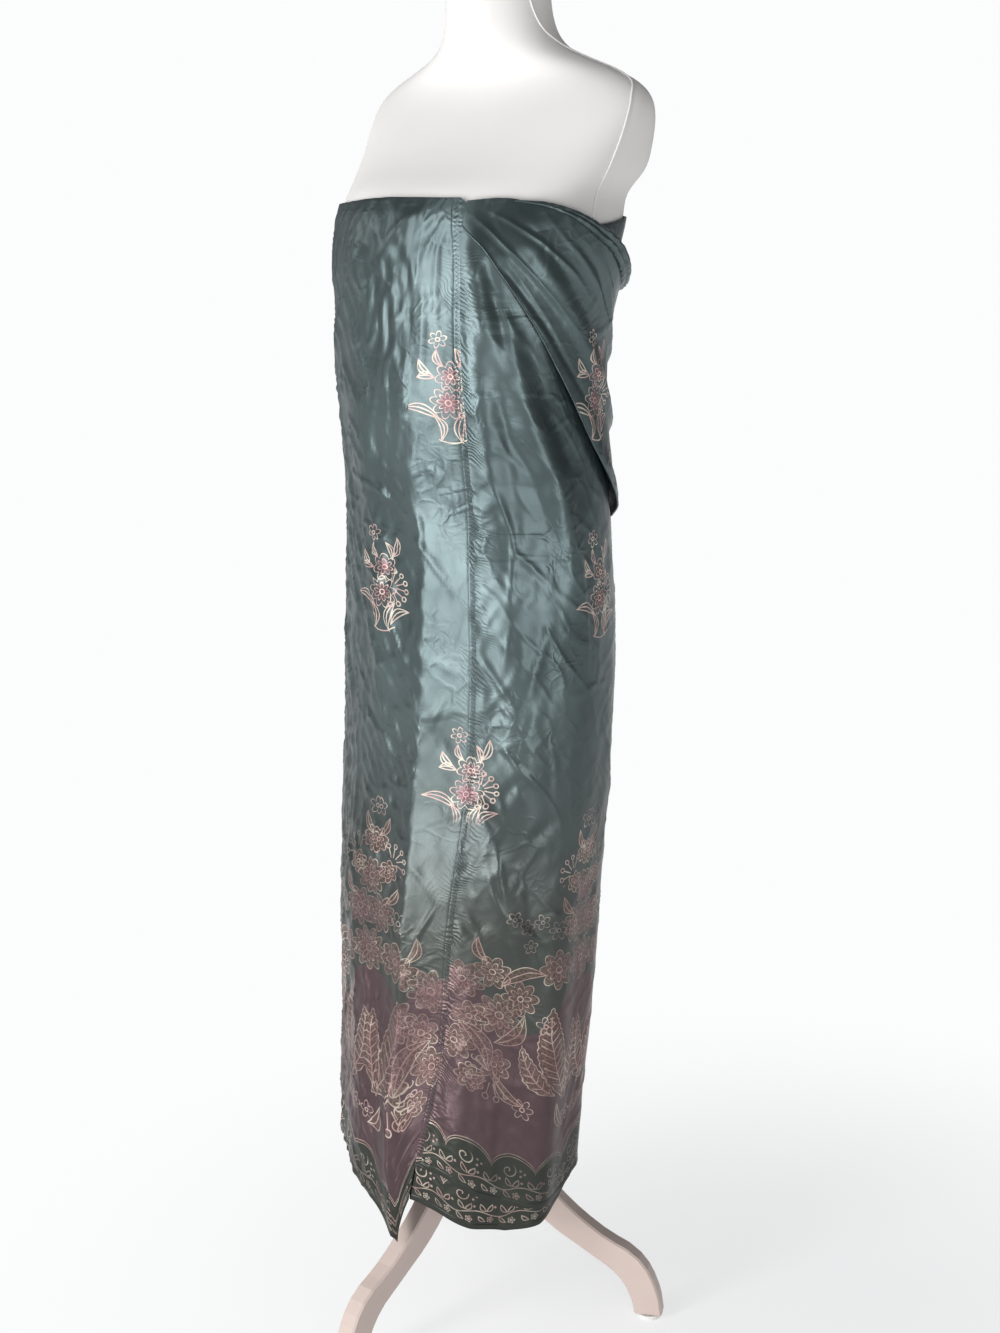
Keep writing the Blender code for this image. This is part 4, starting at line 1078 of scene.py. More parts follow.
def hem_strip(finish, across, up):
    """Scallops over a row of curls, dots and a running vine. Gives the drawing and the scallops' edge."""
    arch = (across * (math.pi / SCALLOP_STEP)).cos().abs() ** 0.6
    above = up - SCALLOP_FOOT - SCALLOP_RISE * arch
    drawing = Print(finish, across.repeat(SCALLOP_STEP), up)
    drawing.keep(above.abs().smallest((above + SCALLOP_PAIR).abs()))
    x, y = finish.split(drawing.local(-0.004, 0.038))
    reach = (x * x + y * y) ** 0.5
    bearing = y.maths("ARCTAN2", y, x)
    swirl = (reach - CURL_START - CURL_GROWTH * bearing).repeat(CURL_STEP).abs()
    drawing.keep(swirl.largest(reach - CURL_RADIUS))
    for across_dot, up_dot in ((0.0085, 0.040), (0.0125, 0.037), (0.0085, 0.034)):
        drawing.dot(across_dot, up_dot, 0.0007)
    vine = up - VINE_LEVEL - VINE_SWING * (across * (2 * math.pi / SCALLOP_STEP)).sin()
    drawing.keep(vine.abs())
    half = Print(finish, across.repeat(SCALLOP_STEP / 2), up)
    half.leaf(0.0045, 0.0245, 0.0050, 0.0021, 52, 0.0012, veins=False, dyed=False)
    half.leaf(-0.0045, 0.0245, 0.0050, 0.0021, 128, -0.0012, veins=False, dyed=False)
    half.leaf(-0.0060, 0.0115, 0.0046, 0.0018, 140, -0.001, veins=False, dyed=False)
    half.small_flower(0.0040, 0.0115, 0.0034, 5, 0)
    half.dot(0.0098, 0.0265, 0.0008)
    drawing.keep(half.outline)
    return drawing, above


print("the strip repeats every", SCALLOP_STEP, "m")

# %% [markdown]
# ### Silk satin
#
# Satin throws a bright, broad gleam because its long floats lie side by side. A little metallic in the
# shader gives the gleam the dye's tint, and dye pools unevenly, so every colour is mottled. Towards the
# hem the ground is painted darker and more olive, as shade.

# %% Silk
TEAL = (0.058, 0.080, 0.083)
TEAL_PALE = (0.086, 0.117, 0.121)
# Painted shade: the ground darkens to this olive towards the hem
LOW_SHADE_OLIVE = (0.052, 0.053, 0.046)
STRIP_GREEN = (0.038, 0.041, 0.035)
MAUVE = (0.098, 0.064, 0.070)
MAUVE_DEEP = (0.066, 0.043, 0.046)
ROSE = (0.150, 0.074, 0.086)
DUSTY = (0.108, 0.080, 0.086)
PLUM = (0.100, 0.058, 0.064)
BRONZE = (0.090, 0.058, 0.042)
WAX = (0.50, 0.32, 0.29)
WAX_PALE = (0.60, 0.52, 0.43)
LINE_WIDTH = 0.00080
HEM_WIDTH = 0.0058
MAUVE_TOP = 0.222
MAUVE_SWING = 0.030
MOTTLE_SCALE = 46.0
CLOUD_SCALE = 7.0
HATCH_SCALE = 190.0
PLAIN_CLOUD_SCALE = 60.0
# Where the painted shade towards the hem fades out, and how strong it is
LOW_SHADE_RAMP = (0.20, 0.66)
LOW_SHADE_SHARE = 0.85
CLOUD_RAMP = (0.35, 0.68)
FILL_SHARE = 0.55
BLUSH_SHARE = 0.5
HATCH_SHARE = 0.12

# Where a wax line starts to fade and where it ends, in line widths
FIELD_LINE_FADE = (0.45, 1.1)
BORDER_LINE_FADE = (0.35, 0.95)

# How deep inside a shape its dye starts to thin and where it ends, in metres
FIELD_DYE = (-0.010, 0.0002)
BORDER_DYE = (-0.011, 0.0002)
SHAPE_EDGE = (-0.0006, 0.0004)
SCALLOP_EDGE = (-0.0004, 0.0004)
MAUVE_EDGE = (-0.0012, 0.0012)

# The satin's own gleam, and how much the wax dulls it
SATIN_SPECULAR = 0.6
SATIN_ROUGHNESS = 0.35
SATIN_METAL = 0.78
WAX_DULLS = 0.70

# Bump heights are metres. A net's row: its scale, its creases' width, their rise, the patches' scale
SHAKE_SCALE = 21.0
SHAKE_REACH = (0.05, 0.03, 0.0)
DENT_SCALE = 14.0
DENT_HEIGHT = 0.0024
CREASE_NETS = ((15.0, 0.12, 0.0010, 5.0), (34.0, 0.15, 0.0005, 9.0), (74.0, 0.20, 0.0002, 13.0))
PATCHES = (0.45, 0.68)
TURNED_HEM_HEIGHT = 0.0007
PUCKER_TURNS = 1150.0
PUCKER_SLANT = 700.0
PUCKER_HEIGHT = 0.00050
PUCKER_PATCH_SCALE = 30.0
PUCKER_PATCHES = (0.30, 0.60)
GRAIN_SCALE = 900.0
GRAIN_HEIGHT = 0.00006


def creased_normal(finish, place, turned_hem=None):
    """Little creases that meet in a net, puckers and the turned hem, over the satin's own grain."""
    shake = finish.noise(place, SHAKE_SCALE, 2.0)
    bent = finish.add("ShaderNodeVectorMath", {"operation": "MULTIPLY_ADD"},
                      {0: finish.join(shake, shake), 1: SHAKE_REACH, 2: place})
    height = finish.noise(place, DENT_SCALE, 1.4, 0.45) * DENT_HEIGHT
    for scale, width, rise, patches in CREASE_NETS:
        net = finish.edges(bent, scale)
        here = finish.noise(place, patches, 1.0).ramp(*PATCHES)
        height = height + (1 - net.ramp(0.0, width)) * rise * here
    if turned_hem is not None:
        near = finish.add("ShaderNodeAttribute", {"attribute_name": "pucker"}, output=2)
        across, up = finish.split(bent)
        uneven = finish.noise(place, PUCKER_PATCH_SCALE, 1.0).ramp(*PUCKER_PATCHES)
        gathers = (up * PUCKER_TURNS + across * PUCKER_SLANT).sin() * uneven
        height = height + turned_hem * TURNED_HEM_HEIGHT + near * gathers * PUCKER_HEIGHT
    creased = finish.bump(height, 1.0, 0.75)
    return finish.bump(finish.noise(place, GRAIN_SCALE, 1.0), GRAIN_HEIGHT, 0.6, creased)


def make_silk():
    """Printed silk satin on the flat cloth's own coordinates."""
    finish = Finish("silk", Specular_IOR_Level=SATIN_SPECULAR)
    flat = coordinates(finish, "UV")
    shake = finish.noise(flat, WOBBLE_SCALE, 1.0)
    sway = finish.noise(flat, WOBBLE_SCALE * 0.37, 1.0)
    raw_across, raw_up = finish.split(flat)
    across = raw_across + WOBBLE * (shake - 0.5) + 2 * WOBBLE * (sway - 0.5)
    up = raw_up + WOBBLE * (sway - 0.5) - WOBBLE * (shake - 0.5)
    mottle = finish.noise(flat, MOTTLE_SCALE, 3.0, 0.6)
    cloud = finish.noise(flat, CLOUD_SCALE, 3.0, 0.55)

    field = field_bouquets(finish, across, up)
    border = border_flowers(finish, across, up)
    strip, above = hem_strip(finish, across, up)
    on_field = up.ramp(*FIELD_STARTS) * (1 - up.ramp(*FIELD_ENDS))
    in_strip = 1 - above.ramp(*SCALLOP_EDGE)
    thin = LINE_WIDTH * (0.65 + 0.8 * mottle)
    field_line = (1 - (field.outline / thin).ramp(*FIELD_LINE_FADE)) * on_field
    border_line = (1 - (border.outline / thin).ramp(*BORDER_LINE_FADE)) * (1 - in_strip)
    below_scallops = 1 - (above - 0.001).ramp(0.0, 0.0012)
    strip_line = (1 - (strip.outline / thin).ramp(*BORDER_LINE_FADE)) * below_scallops
    lines = field_line.largest(border_line).largest(strip_line)
    field_dye = (1 - field.dyed.ramp(*FIELD_DYE)) * on_field
    border_dye = (1 - border.dyed.ramp(*BORDER_DYE)) * (1 - in_strip)
    inside = (1 - border.dyed.ramp(*SHAPE_EDGE)) * (1 - in_strip)

    wave = (border.across * (4 * math.pi / BORDER_STEP)).cos()
    low_ground = 1 - (up - MAUVE_TOP - MAUVE_SWING * wave + 0.05 * (cloud - 0.5)).ramp(*MAUVE_EDGE)
    ground = finish.mix(cloud.ramp(*CLOUD_RAMP), TEAL, TEAL_PALE)
    # Painted shade: darker and more olive towards the hem
    ground = finish.mix((1 - up.ramp(*LOW_SHADE_RAMP)) * LOW_SHADE_SHARE, ground, LOW_SHADE_OLIVE)
    ground = finish.mix(low_ground, ground, finish.mix(mottle, MAUVE_DEEP, MAUVE))
    ground = finish.mix(in_strip, ground, STRIP_GREEN)
    colour = finish.mix(field_dye * (0.75 + 0.2 * mottle), ground, finish.mix(field_dye ** 3, DUSTY, ROSE))
    colour = finish.mix(inside * FILL_SHARE, colour, finish.mix(cloud.ramp(0.36, 0.52), PLUM, BRONZE))
    colour = finish.mix(border_dye * mottle * BLUSH_SHARE, colour, ROSE)
    hatch = finish.edges(flat, HATCH_SCALE)
    wax = finish.mix(mottle.ramp(0.42, 0.62), WAX, WAX_PALE)
    colour = finish.mix((1 - hatch.ramp(0.02, 0.10)) * inside * HATCH_SHARE, colour, wax)
    strength = field_line.largest(0.30 + 0.55 * cloud.ramp(0.42, 0.62)) * (0.62 + 0.40 * mottle)
    drawn = lines * strength
    colour = finish.mix(drawn, colour, wax)
    finish.set("Base Color", colour)
    finish.set("Roughness", SATIN_ROUGHNESS + 0.07 * mottle + 0.08 * drawn)
    finish.set("Metallic", SATIN_METAL - WAX_DULLS * drawn - 0.10 * inside)
    turned_hem = 1 - raw_up.ramp(HEM_WIDTH - 0.0006, HEM_WIDTH + 0.0006)
    finish.set("Normal", creased_normal(finish, flat, turned_hem))
    return finish


def make_plain_silk():
    """The same satin without its print, for cords and the rope."""
    finish = Finish("plain_silk", Specular_IOR_Level=SATIN_SPECULAR, Metallic=0.75, Roughness=0.38)
    place = coordinates(finish)
    cloud = finish.noise(place, PLAIN_CLOUD_SCALE, 3.0).ramp(*CLOUD_RAMP)
    finish.set("Base Color", finish.mix(cloud, TEAL, TEAL_PALE))
    finish.set("Normal", creased_normal(finish, place))
    return finish


silk = make_silk()
plain_silk = make_plain_silk()
print("silk nodes:", len(silk.tree.nodes))

# %% [markdown]
# ### The edges that meet at the seam
#
# The thread of the long seam is a little too tight and draws the silk up in short puckers. They are
# too small for the grids, so each grid only marks how near the seam is, and the shader puckers it.
# The front's edge rises softly to the turned hem.

# %% By the seam
PUCKER_REACH = 0.007
HEM_RISE = 0.0005
HEM_RISE_DEGREES = 5.0
HEM_DEGREES = SEAM_HEM_WIDTH / METRES_PER_DEGREE
print("the turned hem spans", round(HEM_DEGREES, 2), "degrees")


def mark_puckers(piece, angles, heights, amount=1.0):
    """Store how much the seam's thread puckers each point."""
    away = np.abs(angles - read_curve(SEAM_LINE, heights)) * METRES_PER_DEGREE
    nearness = np.exp(-np.maximum(away - SEAM_HEM_WIDTH / 2, 0.0) / PUCKER_REACH)
    marks = piece.data.attributes.new("pucker", "FLOAT", "POINT")
    marks.data.foreach_set("value", amount * nearness.ravel())


# %% [markdown]
# ## The big stretches
#
# The front stretch runs from the seam round the right side to the back. One column of its grid lies
# on the pressed pleat, whose crest stays sharp. The panel beyond the pleat hangs loose, so it
# crumples more than the taut band between pleat and seam.

# %% The front stretch
FRONT_COLUMNS = 112
PLEAT_SHARE = 0.875
FRONT_ROWS = 350
FRONT_LAYER = 3.0
SEAM_EASE = 0.02
FRONT_PUCKER = 0.12
FRONT_CREASE = 1.5
PANEL_CRUMPLE = 2.3
PANEL_CRUMPLE_WIDTH = 0.016
PANEL_GRAINS = (math.radians(-62.0), math.radians(76.0))
BAND_CRUMPLE = 0.40


def front_angles(across, heights):
    """Angles across the front stretch, which has a column on the pleat."""
    pleat = read_curve(PLEAT_LINE, heights)
    seam = read_curve(SEAM_LINE, heights)
    before = between(RIGHT_END_ANGLE, pleat, across / PLEAT_SHARE)
    after = between(pleat, seam, (across - PLEAT_SHARE) / (1 - PLEAT_SHARE))
    return np.where(across <= PLEAT_SHARE, before, after)


def make_front():
    """The stretch from the front seam round the right side to the back."""
    across, up = across_and_up(FRONT_COLUMNS, FRONT_ROWS)
    bottom = read_line(FRONT_HEM, front_angles(across, FRONT_HEM[-1][1]))
    top = read_line(FRONT_TOP, front_angles(across, FRONT_TOP[-1][1]))
    heights = between(bottom, top, up)
    angles = front_angles(across, heights)
    creases = fold_lift(CREASES_FRONT, angles, heights)
    creases *= np.where(across < PLEAT_SHARE, FRONT_CREASE, 1.0)
    crumples = crumple_lift(angles, heights, FRONT_LAYER, PANEL_GRAINS, PANEL_CRUMPLE_WIDTH)
    creases += crumples * np.where(across < PLEAT_SHARE, PANEL_CRUMPLE, BAND_CRUMPLE)
    creases *= np.clip((1 - across) / SEAM_EASE, 0.0, 1.0)
    edge = read_curve(SEAM_LINE, heights) - angles
    near_seam = np.clip(1 - edge / HEM_RISE_DEGREES, 0.0, 1.0) ** 2
    creases += (HEM_RISE + side_lift(angles + edge, heights) - front_lift(angles, heights)) * near_seam
    points = cloth_points(angles, heights, front_lift(angles, heights) + creases)
    piece = add_sheet("silk_front", points, flat_places(angles, heights, bottom, blend=FRONT_BLEND), silk)
    skip_pleat(piece.data)
    mark_puckers(piece, angles, heights, FRONT_PUCKER)
    return piece


def skip_pleat(mesh):
    """Move the print on at the pleat, whose cloth is folded under."""
    first = round(PLEAT_SHARE * FRONT_COLUMNS)
    quads = np.arange(FRONT_ROWS * FRONT_COLUMNS).reshape(FRONT_ROWS, FRONT_COLUMNS)[:, first:].ravel()
    loops = (quads[:, None] * 4 + np.arange(4)).ravel()
    layer = mesh.uv_layers["flat_cloth"]
    flat = np.empty(len(mesh.loops) * 2)
    layer.data.foreach_get("uv", flat)
    flat[loops * 2] += PLEAT_TAKES
    layer.data.foreach_set("uv", flat)


silk_front = make_front()
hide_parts("front_stretch")

# %% [markdown]
# ### The side stretch
#
# It starts under the turned hem and runs round the left side to the lap at the back, where it climbs
# over the end of the front. Near the tuck the cloth is drawn under the seam, so the print there is
# cut off by the seam.

# %% The side stretch
SIDE_COLUMNS = 140
SIDE_ROWS = 330
SIDE_EASE = 1.25
SIDE_LAYER = 17.0
SIDE_SEAM_EASE = 3.0
LAP_CREASE = 0.5
DRAWN_ACROSS = 0.055
DRAWN_FROM_HEIGHT = 0.76
DRAWN_HEIGHTS = 0.16
DRAWN_TO_ANGLE = -28.0
DRAWN_DEGREES = 20.0


def side_top(angles):
    """The side stretch ends above the swag's lower edge, which hides it."""
    hidden = SIDE_HIDDEN * (1 + np.clip((angles - TUCK_ANGLE) / SIDE_HIDDEN_DEGREES, 0.0, 1.0))
    by_seam = np.clip((TUCK_ANGLE - angles) / TUCK_DEGREES, 0.0, 1.0)
    return between(read_curve(SWAG_EDGE, angles) + hidden, FRONT_TOP[-1][1], by_seam)


def side_angles(across, heights):
    """Angles across the side stretch."""
    start = read_curve(SEAM_LINE, heights) + SEAM_GAP / METRES_PER_DEGREE
    return between(start, WRAP_END_ANGLE, across)


def drawn_across(angles, heights):
    """Near the tuck the cloth is drawn under the seam, and its print with it."""
    high = np.clip((heights - DRAWN_FROM_HEIGHT) / DRAWN_HEIGHTS, 0.0, 1.0)
    near = np.clip((DRAWN_TO_ANGLE - angles) / DRAWN_DEGREES, 0.0, 1.0)
    return DRAWN_ACROSS * high * near


def make_side():
    """The stretch from the front seam round the left side to the lap at the back."""
    across, up = across_and_up(SIDE_COLUMNS, SIDE_ROWS, SIDE_EASE)
    hem_angles = side_angles(across, UNDER_SEAM_HEIGHT)
    bottom = np.where(hem_angles < OUTER_HEM[-1][0], read_curve(OUTER_HEM, hem_angles),
                      read_line(SIDE_HEM, hem_angles))
    top = np.full(across.shape, FRONT_TOP[-1][1])
    for _ in range(TOP_EDGE_PASSES):
        top = side_top(side_angles(across, top))
    heights = between(bottom, top, up)
    angles = side_angles(across, heights)
    creases = fold_lift(CREASES_SIDE, angles, heights) + crumple_lift(angles, heights, SIDE_LAYER)
    beyond = angles - angles[:, :1] - HEM_DEGREES
    creases *= np.clip(beyond / SIDE_SEAM_EASE, 0.0, 1.0)
    creases *= np.where(angles > LAP_START_ANGLE, LAP_CREASE, 1.0)
    points = cloth_points(angles, heights, side_lift(angles, heights) + creases)
    flat = flat_places(angles, heights, bottom, SIDE_SHIFT)
    flat[..., 0] += drawn_across(angles, heights)
    piece = add_sheet("silk_side", points, flat, silk)
    mark_puckers(piece, angles, heights)
    return piece


silk_side = make_side()
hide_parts("side_stretch")

# %% [markdown]
# ### The swag
#
# The end of the scarf is tucked in at the front and carried round the left side to the back. It hangs
# loose from its rope, so its lower edge stands off the stretch beneath, and its folds fan out from
# the tuck.

# %% The swag
SWAG_COLUMNS = 240
SWAG_ROWS = 80
SWAG_LAYER = 31.0
SWAG_CRUMPLE = 0.5
SWAG_SHIFT = -0.088


def swag_points(angles, heights):
    """Points on the swag's outer face, with its creases and crumples."""
    crumples = SWAG_CRUMPLE * crumple_lift(angles, heights, SWAG_LAYER)
    creases = fold_lift(CREASES_SWAG, angles, heights) + crumples
    return cloth_points(angles, heights, swag_lift(angles, heights) + creases)


def make_swag():
    """The loose outer layer that runs from the front tuck round the left side to the back."""
    across, up = across_and_up(SWAG_COLUMNS, SWAG_ROWS)
    angles = between(SWAG_EDGE[0][0], SWAG_EDGE[-1][0], across)
    heights = between(read_curve(SWAG_EDGE, angles), swag_top(angles), up)
    points = swag_points(angles, heights)
    return add_sheet("silk_swag", points, flat_places(angles, heights, shift=SWAG_SHIFT), silk)


silk_swag = make_swag()
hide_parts("swag")

# %% [markdown]
# ## Smaller pieces of the cloth
#
# The scarf's first turn shows as a smooth band above the rope. It lies tight against the form, so it
# has no folds, and its lower edge runs down behind the swag, where nobody sees it.

# %% The band above the rope
BAND_COLUMNS = 150
BAND_ROWS = 30


def make_band():
    """The first turn of the cloth, which shows as a band above the rolled top."""
    across, up = across_and_up(BAND_COLUMNS, BAND_ROWS)
    angles = between(BAND_TOP[0][0], BAND_TOP[-1][0], across)
    low = np.maximum(side_top(angles) + BAND_GAP, BAND_BOTTOM)
    heights = between(low, read_curve(BAND_TOP, angles), up)
    points = cloth_points(angles, heights)
    return add_sheet("silk_band", points, flat_places(angles, heights), silk)


silk_band = make_band()
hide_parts("inner_stretch")

# %% [markdown]
# ### The turned hem
#
# The cloth's edge at the seam is turned under twice, which makes a narrow raised strip. One side of it
# meets the front's risen edge, and the other sinks into the side stretch, so no gap shows.

# %% The turned hem along the seam
HEM_ROWS = 420
HEM_COLUMNS = 5
HEM_WALL = 0.0003
HEM_EDGE_RISE = -0.0001
HEM_SHIFT = 0.066
HEM_PUCKER = 0.40


def make_seam_hem():
    """The narrow turned hem that lies along the seam, drawn up by its stitches."""
    across, up = across_and_up(HEM_COLUMNS, HEM_ROWS)
    heights = between(UNDER_SEAM_HEIGHT, FRONT_TOP[-1][1], up)
    angles = read_curve(SEAM_LINE, heights) + (SEAM_GAP + SEAM_HEM_WIDTH * across) / METRES_PER_DEGREE
    lift = side_lift(angles, heights) + between(HEM_RISE, HEM_EDGE_RISE, across)
    flat = flat_places(angles, heights, shift=HEM_SHIFT)
    piece = add_sheet("silk_seam_hem", cloth_points(angles, heights, lift), flat, silk, HEM_WALL)
    mark_puckers(piece, angles, heights, HEM_PUCKER)
    return piece


silk_seam_hem = make_seam_hem()
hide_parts("seam_hem")

# %% [markdown]
# ### The hem of the turn beneath
#
# The outer turn was wound a little higher than the one under it, so the lower turn's edge shows below
# it. It starts a little way up behind the outer hem and hangs nearer to the legs.

# %% The hem of the turn beneath
UNDER_COLUMNS = 90
UNDER_ROWS = 16
UNDER_TUCK = 0.014
UNDER_DEPTH = 0.0017


def make_under_hem():
    """The lower edge of the turn that lies under the side stretch."""
    across, up = across_and_up(UNDER_COLUMNS, UNDER_ROWS)
    angles = between(SIDE_HEM[0][0], OUTER_HEM[-1][0], across)
    low = read_line(SIDE_HEM, angles)
    heights = between(low, read_curve(OUTER_HEM, angles) + UNDER_TUCK, up)
    points = cloth_points(angles, heights, side_lift(angles, heights) - UNDER_DEPTH)
    flat = np.stack([angles * METRES_PER_DEGREE + UNDER_SHIFT, heights - low], axis=-1)
    return add_sheet("silk_under_hem", points, flat, silk)


silk_under_hem = make_under_hem()
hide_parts("side_stretch")

# %% [markdown]
# ### The rope
#
# The swag's top edge is twisted into a rope. Round each ring the reach dips three times, and the dips
# turn as the ring moves along, so they wind into grooves between three strands.

# %% The rope
ROPE_RINGS = 300
ROPE_SIDES = 40
ROPE_STRANDS = 3
ROPE_TWIST = math.radians(900.0)
ROPE_GROOVE = 0.62
ROPE_ROUNDNESS = 0.7
ROPE_WRINKLE = 0.06
WRINKLES_PER_STRAND = 2.5
WRINKLE_SWAY = 9.0
WRINKLE_SWAY_TURNS = 40.0


def make_rope():
    """The swag's upper edge, twisted into a rope of three strands."""
    share = np.linspace(0.0, 1.0, ROPE_RINGS + 1)
    angles = between(ROLL_LINE[0][0], ROLL_LINE[-1][0], share)
    middle = cloth_points(angles, read_curve(ROLL_LINE, angles), roll_lift(angles))
    along = np.gradient(middle, axis=0)
    along /= np.linalg.norm(along, axis=-1, keepdims=True)
    out = middle - np.array([0.0, POLE_Y, 0.0])
    out[:, 2] = 0.0
    out -= along * np.sum(out * along, axis=-1, keepdims=True)
    out /= np.linalg.norm(out, axis=-1, keepdims=True)
    up = np.cross(out, along)
    turn = np.linspace(0.0, 2 * math.pi, ROPE_SIDES, endpoint=False)
    phase = ROPE_STRANDS * turn[None, :] + ROPE_TWIST * share[:, None]
    strand = np.abs(np.cos(phase / 2)) ** ROPE_ROUNDNESS
    sway = WRINKLE_SWAY * np.sin(share[:, None] * WRINKLE_SWAY_TURNS)
    wrinkle = ROPE_WRINKLE * np.sin(WRINKLES_PER_STRAND * phase + sway) * strand
    lobes = 1 + ROLL_LOBE - ROPE_GROOVE * (1 - strand) + wrinkle
    reach = read_curve(ROLL_LINE, angles, 2)[:, None] * lobes
    spokes = out[:, None] * np.cos(turn)[None, :, None] + up[:, None] * np.sin(turn)[None, :, None]
    points = middle[:, None] + spokes * reach[..., None]
    return tube_mesh("silk_rope", points)


def tube_mesh(name, points):
    """A closed tube through rings of points, with flat coordinates along and round it."""
    rings, sides = points.shape[:2]
    here = np.arange(rings * sides).reshape(rings, sides)
    after = np.roll(here, -1, axis=1)
    quads = np.stack([here[:-1], after[:-1], after[1:], here[1:]], axis=-1).reshape(-1, 4)
    faces = quads.tolist() + [here[0, ::-1].tolist(), here[-1].tolist()]
    mesh = bpy.data.meshes.new(name)
    mesh.from_pydata(points.reshape(-1, 3).tolist(), [], faces)
    body = bmesh.new()
    body.from_mesh(mesh)
    bmesh.ops.recalc_face_normals(body, faces=body.faces)
    layer = body.loops.layers.uv.new("flat_cloth")
    for face in body.faces:
        for loop in face.loops:
            ring, side = divmod(loop.vert.index, sides)
            loop[layer].uv = (ring / rings, side / sides)
    body.to_mesh(mesh)
    body.free()
    return mesh


silk_rope = add_piece("silk_rope", make_rope(), plain_silk)
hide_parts("top_roll")
print("silk_rope has", len(silk_rope.data.polygons), "faces in", ROPE_STRANDS, "strands")

# %% [markdown]
# ## Cords, stitches and piping
#
# One tree of geometry nodes makes every thin cord. It takes a line of points, steps them to and fro
# along a stored direction, and sweeps a round profile along the line. Stitches step to and fro; the
# rolled edge of the swag and the piping don't.

# %% A tree for cords


def new_tree(name, inputs):
    """An empty tree of geometry nodes with named inputs."""
    tree = bpy.data.node_groups.new(name, "GeometryNodeTree")
    tree.interface.new_socket("Geometry", in_out="INPUT", socket_type="NodeSocketGeometry")
    for label, kind in inputs:
        tree.interface.new_socket(label, in_out="INPUT", socket_type=kind)
    tree.interface.new_socket("Geometry", in_out="OUTPUT", socket_type="NodeSocketGeometry")
    return tree


def tree_node(tree, kind, settings=None, inputs=None):
    """One geometry node: its type, its settings, then the values or links of its sockets."""
    node = tree.nodes.new(kind)
    for key, value in (settings or {}).items():
        setattr(node, key, value)
    for key, value in (inputs or {}).items():
        if isinstance(value, bpy.types.NodeSocket):
            tree.links.new(value, node.inputs[key])
        else:
            node.inputs[key].default_value = value
    return node


def make_cord_tree():
    """A round cord along a line of points, which may step to and fro."""
    labels = [("Radius", "NodeSocketFloat"), ("Step", "NodeSocketFloat"), ("Sides", "NodeSocketInt"),
              ("Material", "NodeSocketMaterial")]
    tree = new_tree("cord", labels)
    given = tree_node(tree, "NodeGroupInput").outputs
    index = tree_node(tree, "GeometryNodeInputIndex").outputs[0]
    odd = tree_node(tree, "ShaderNodeMath", {"operation": "MODULO"}, {0: index, 1: 2.0}).outputs[0]
    twice = {0: odd, 1: 2.0, 2: -1.0}
    sign = tree_node(tree, "ShaderNodeMath", {"operation": "MULTIPLY_ADD"}, twice).outputs[0]
    scaled = {0: sign, 1: given["Step"]}
    step = tree_node(tree, "ShaderNodeMath", {"operation": "MULTIPLY"}, scaled).outputs[0]
    stored = {"data_type": "FLOAT_VECTOR"}
    beside = tree_node(tree, "GeometryNodeInputNamedAttribute", stored, {"Name": "beside"})
    shift = tree_node(tree, "ShaderNodeVectorMath", {"operation": "SCALE"},
                      {0: beside.outputs[0], "Scale": step}).outputs[0]
    moved = tree_node(tree, "GeometryNodeSetPosition",
                      inputs={"Geometry": given["Geometry"], "Offset": shift})
    line = tree_node(tree, "GeometryNodeMeshToCurve", inputs={0: moved.outputs[0]})
    ring = tree_node(tree, "GeometryNodeCurvePrimitiveCircle",
                     inputs={"Resolution": given["Sides"], "Radius": given["Radius"]})
    cord = tree_node(tree, "GeometryNodeCurveToMesh",
                     inputs={"Curve": line.outputs[0], "Profile Curve": ring.outputs[0], "Fill Caps": True})
    whole = tree_node(tree, "GeometryNodeRealizeInstances", inputs={0: cord.outputs[0]})
    painted = tree_node(tree, "GeometryNodeSetMaterial",
                        inputs={"Geometry": whole.outputs[0], "Material": given["Material"]})
    tree.links.new(painted.outputs[0], tree_node(tree, "NodeGroupOutput").inputs[0])
    return tree


cord_tree = make_cord_tree()
print("the cord tree has", len(cord_tree.nodes), "nodes")


def add_cord(name, points, beside, radius, finish, step=0.0, sides=6):
    """A cord through points, made by the tree and then turned into a plain mesh."""
    line = bpy.data.meshes.new(name + "_line")
    line.from_pydata(points.tolist(), [(first, first + 1) for first in range(len(points) - 1)], [])
    line.attributes.new("beside", "FLOAT_VECTOR", "POINT").data.foreach_set("vector", beside.ravel())
    maker = bpy.data.objects.new(name + "_line", line)
    bpy.context.scene.collection.objects.link(maker)
    modifier = maker.modifiers.new("cord", "NODES")
    modifier.node_group = cord_tree
    values = {"Radius": radius, "Step": step, "Sides": sides, "Material": finish.material}
    for item in cord_tree.interface.items_tree:
        if item.name in values:
            modifier[item.identifier] = values[item.name]
    made = bpy.data.meshes.new_from_object(maker.evaluated_get(bpy.context.evaluated_depsgraph_get()))
    bpy.data.objects.remove(maker)
    made.name = name
    made.materials.clear()
    piece = add_piece(name, made, finish)
    print(name, "has", len(made.polygons), "faces")
    return piece


# %% [markdown]
# ### Stitches along the seam
#
# The stitches run down the middle of the turned hem. Each point of the line steps to the other side of
# it, so the thread goes to and fro as a hand sews it.

# %% Stitches along the seam
STITCH_STEP = 0.0021
STITCH_REACH = 0.0021
STITCH_RADIUS = 0.0003
STITCH_LOW = 0.0030
STITCH_HIGH = 0.0010
SMALL_TURN = 0.2
THREAD_COLOUR = (0.078, 0.102, 0.105, 1.0)
thread = Finish("thread", Base_Color=THREAD_COLOUR, Roughness=0.5)
thread.set("Normal", thread.bump(thread.noise(coordinates(thread), 2500.0), 0.0002))


def seam_line(heights, out):
    """Points on the turned hem at a distance from the seam, and the way across it."""
    angles = read_curve(SEAM_LINE, heights) + (SEAM_GAP + out) / METRES_PER_DEGREE
    lift = side_lift(angles, heights) + HEM_RISE
    points = cloth_points(angles, heights, lift)
    beside = cloth_points(angles + SMALL_TURN, heights, lift) - points
    return points, beside / np.linalg.norm(beside, axis=-1, keepdims=True)


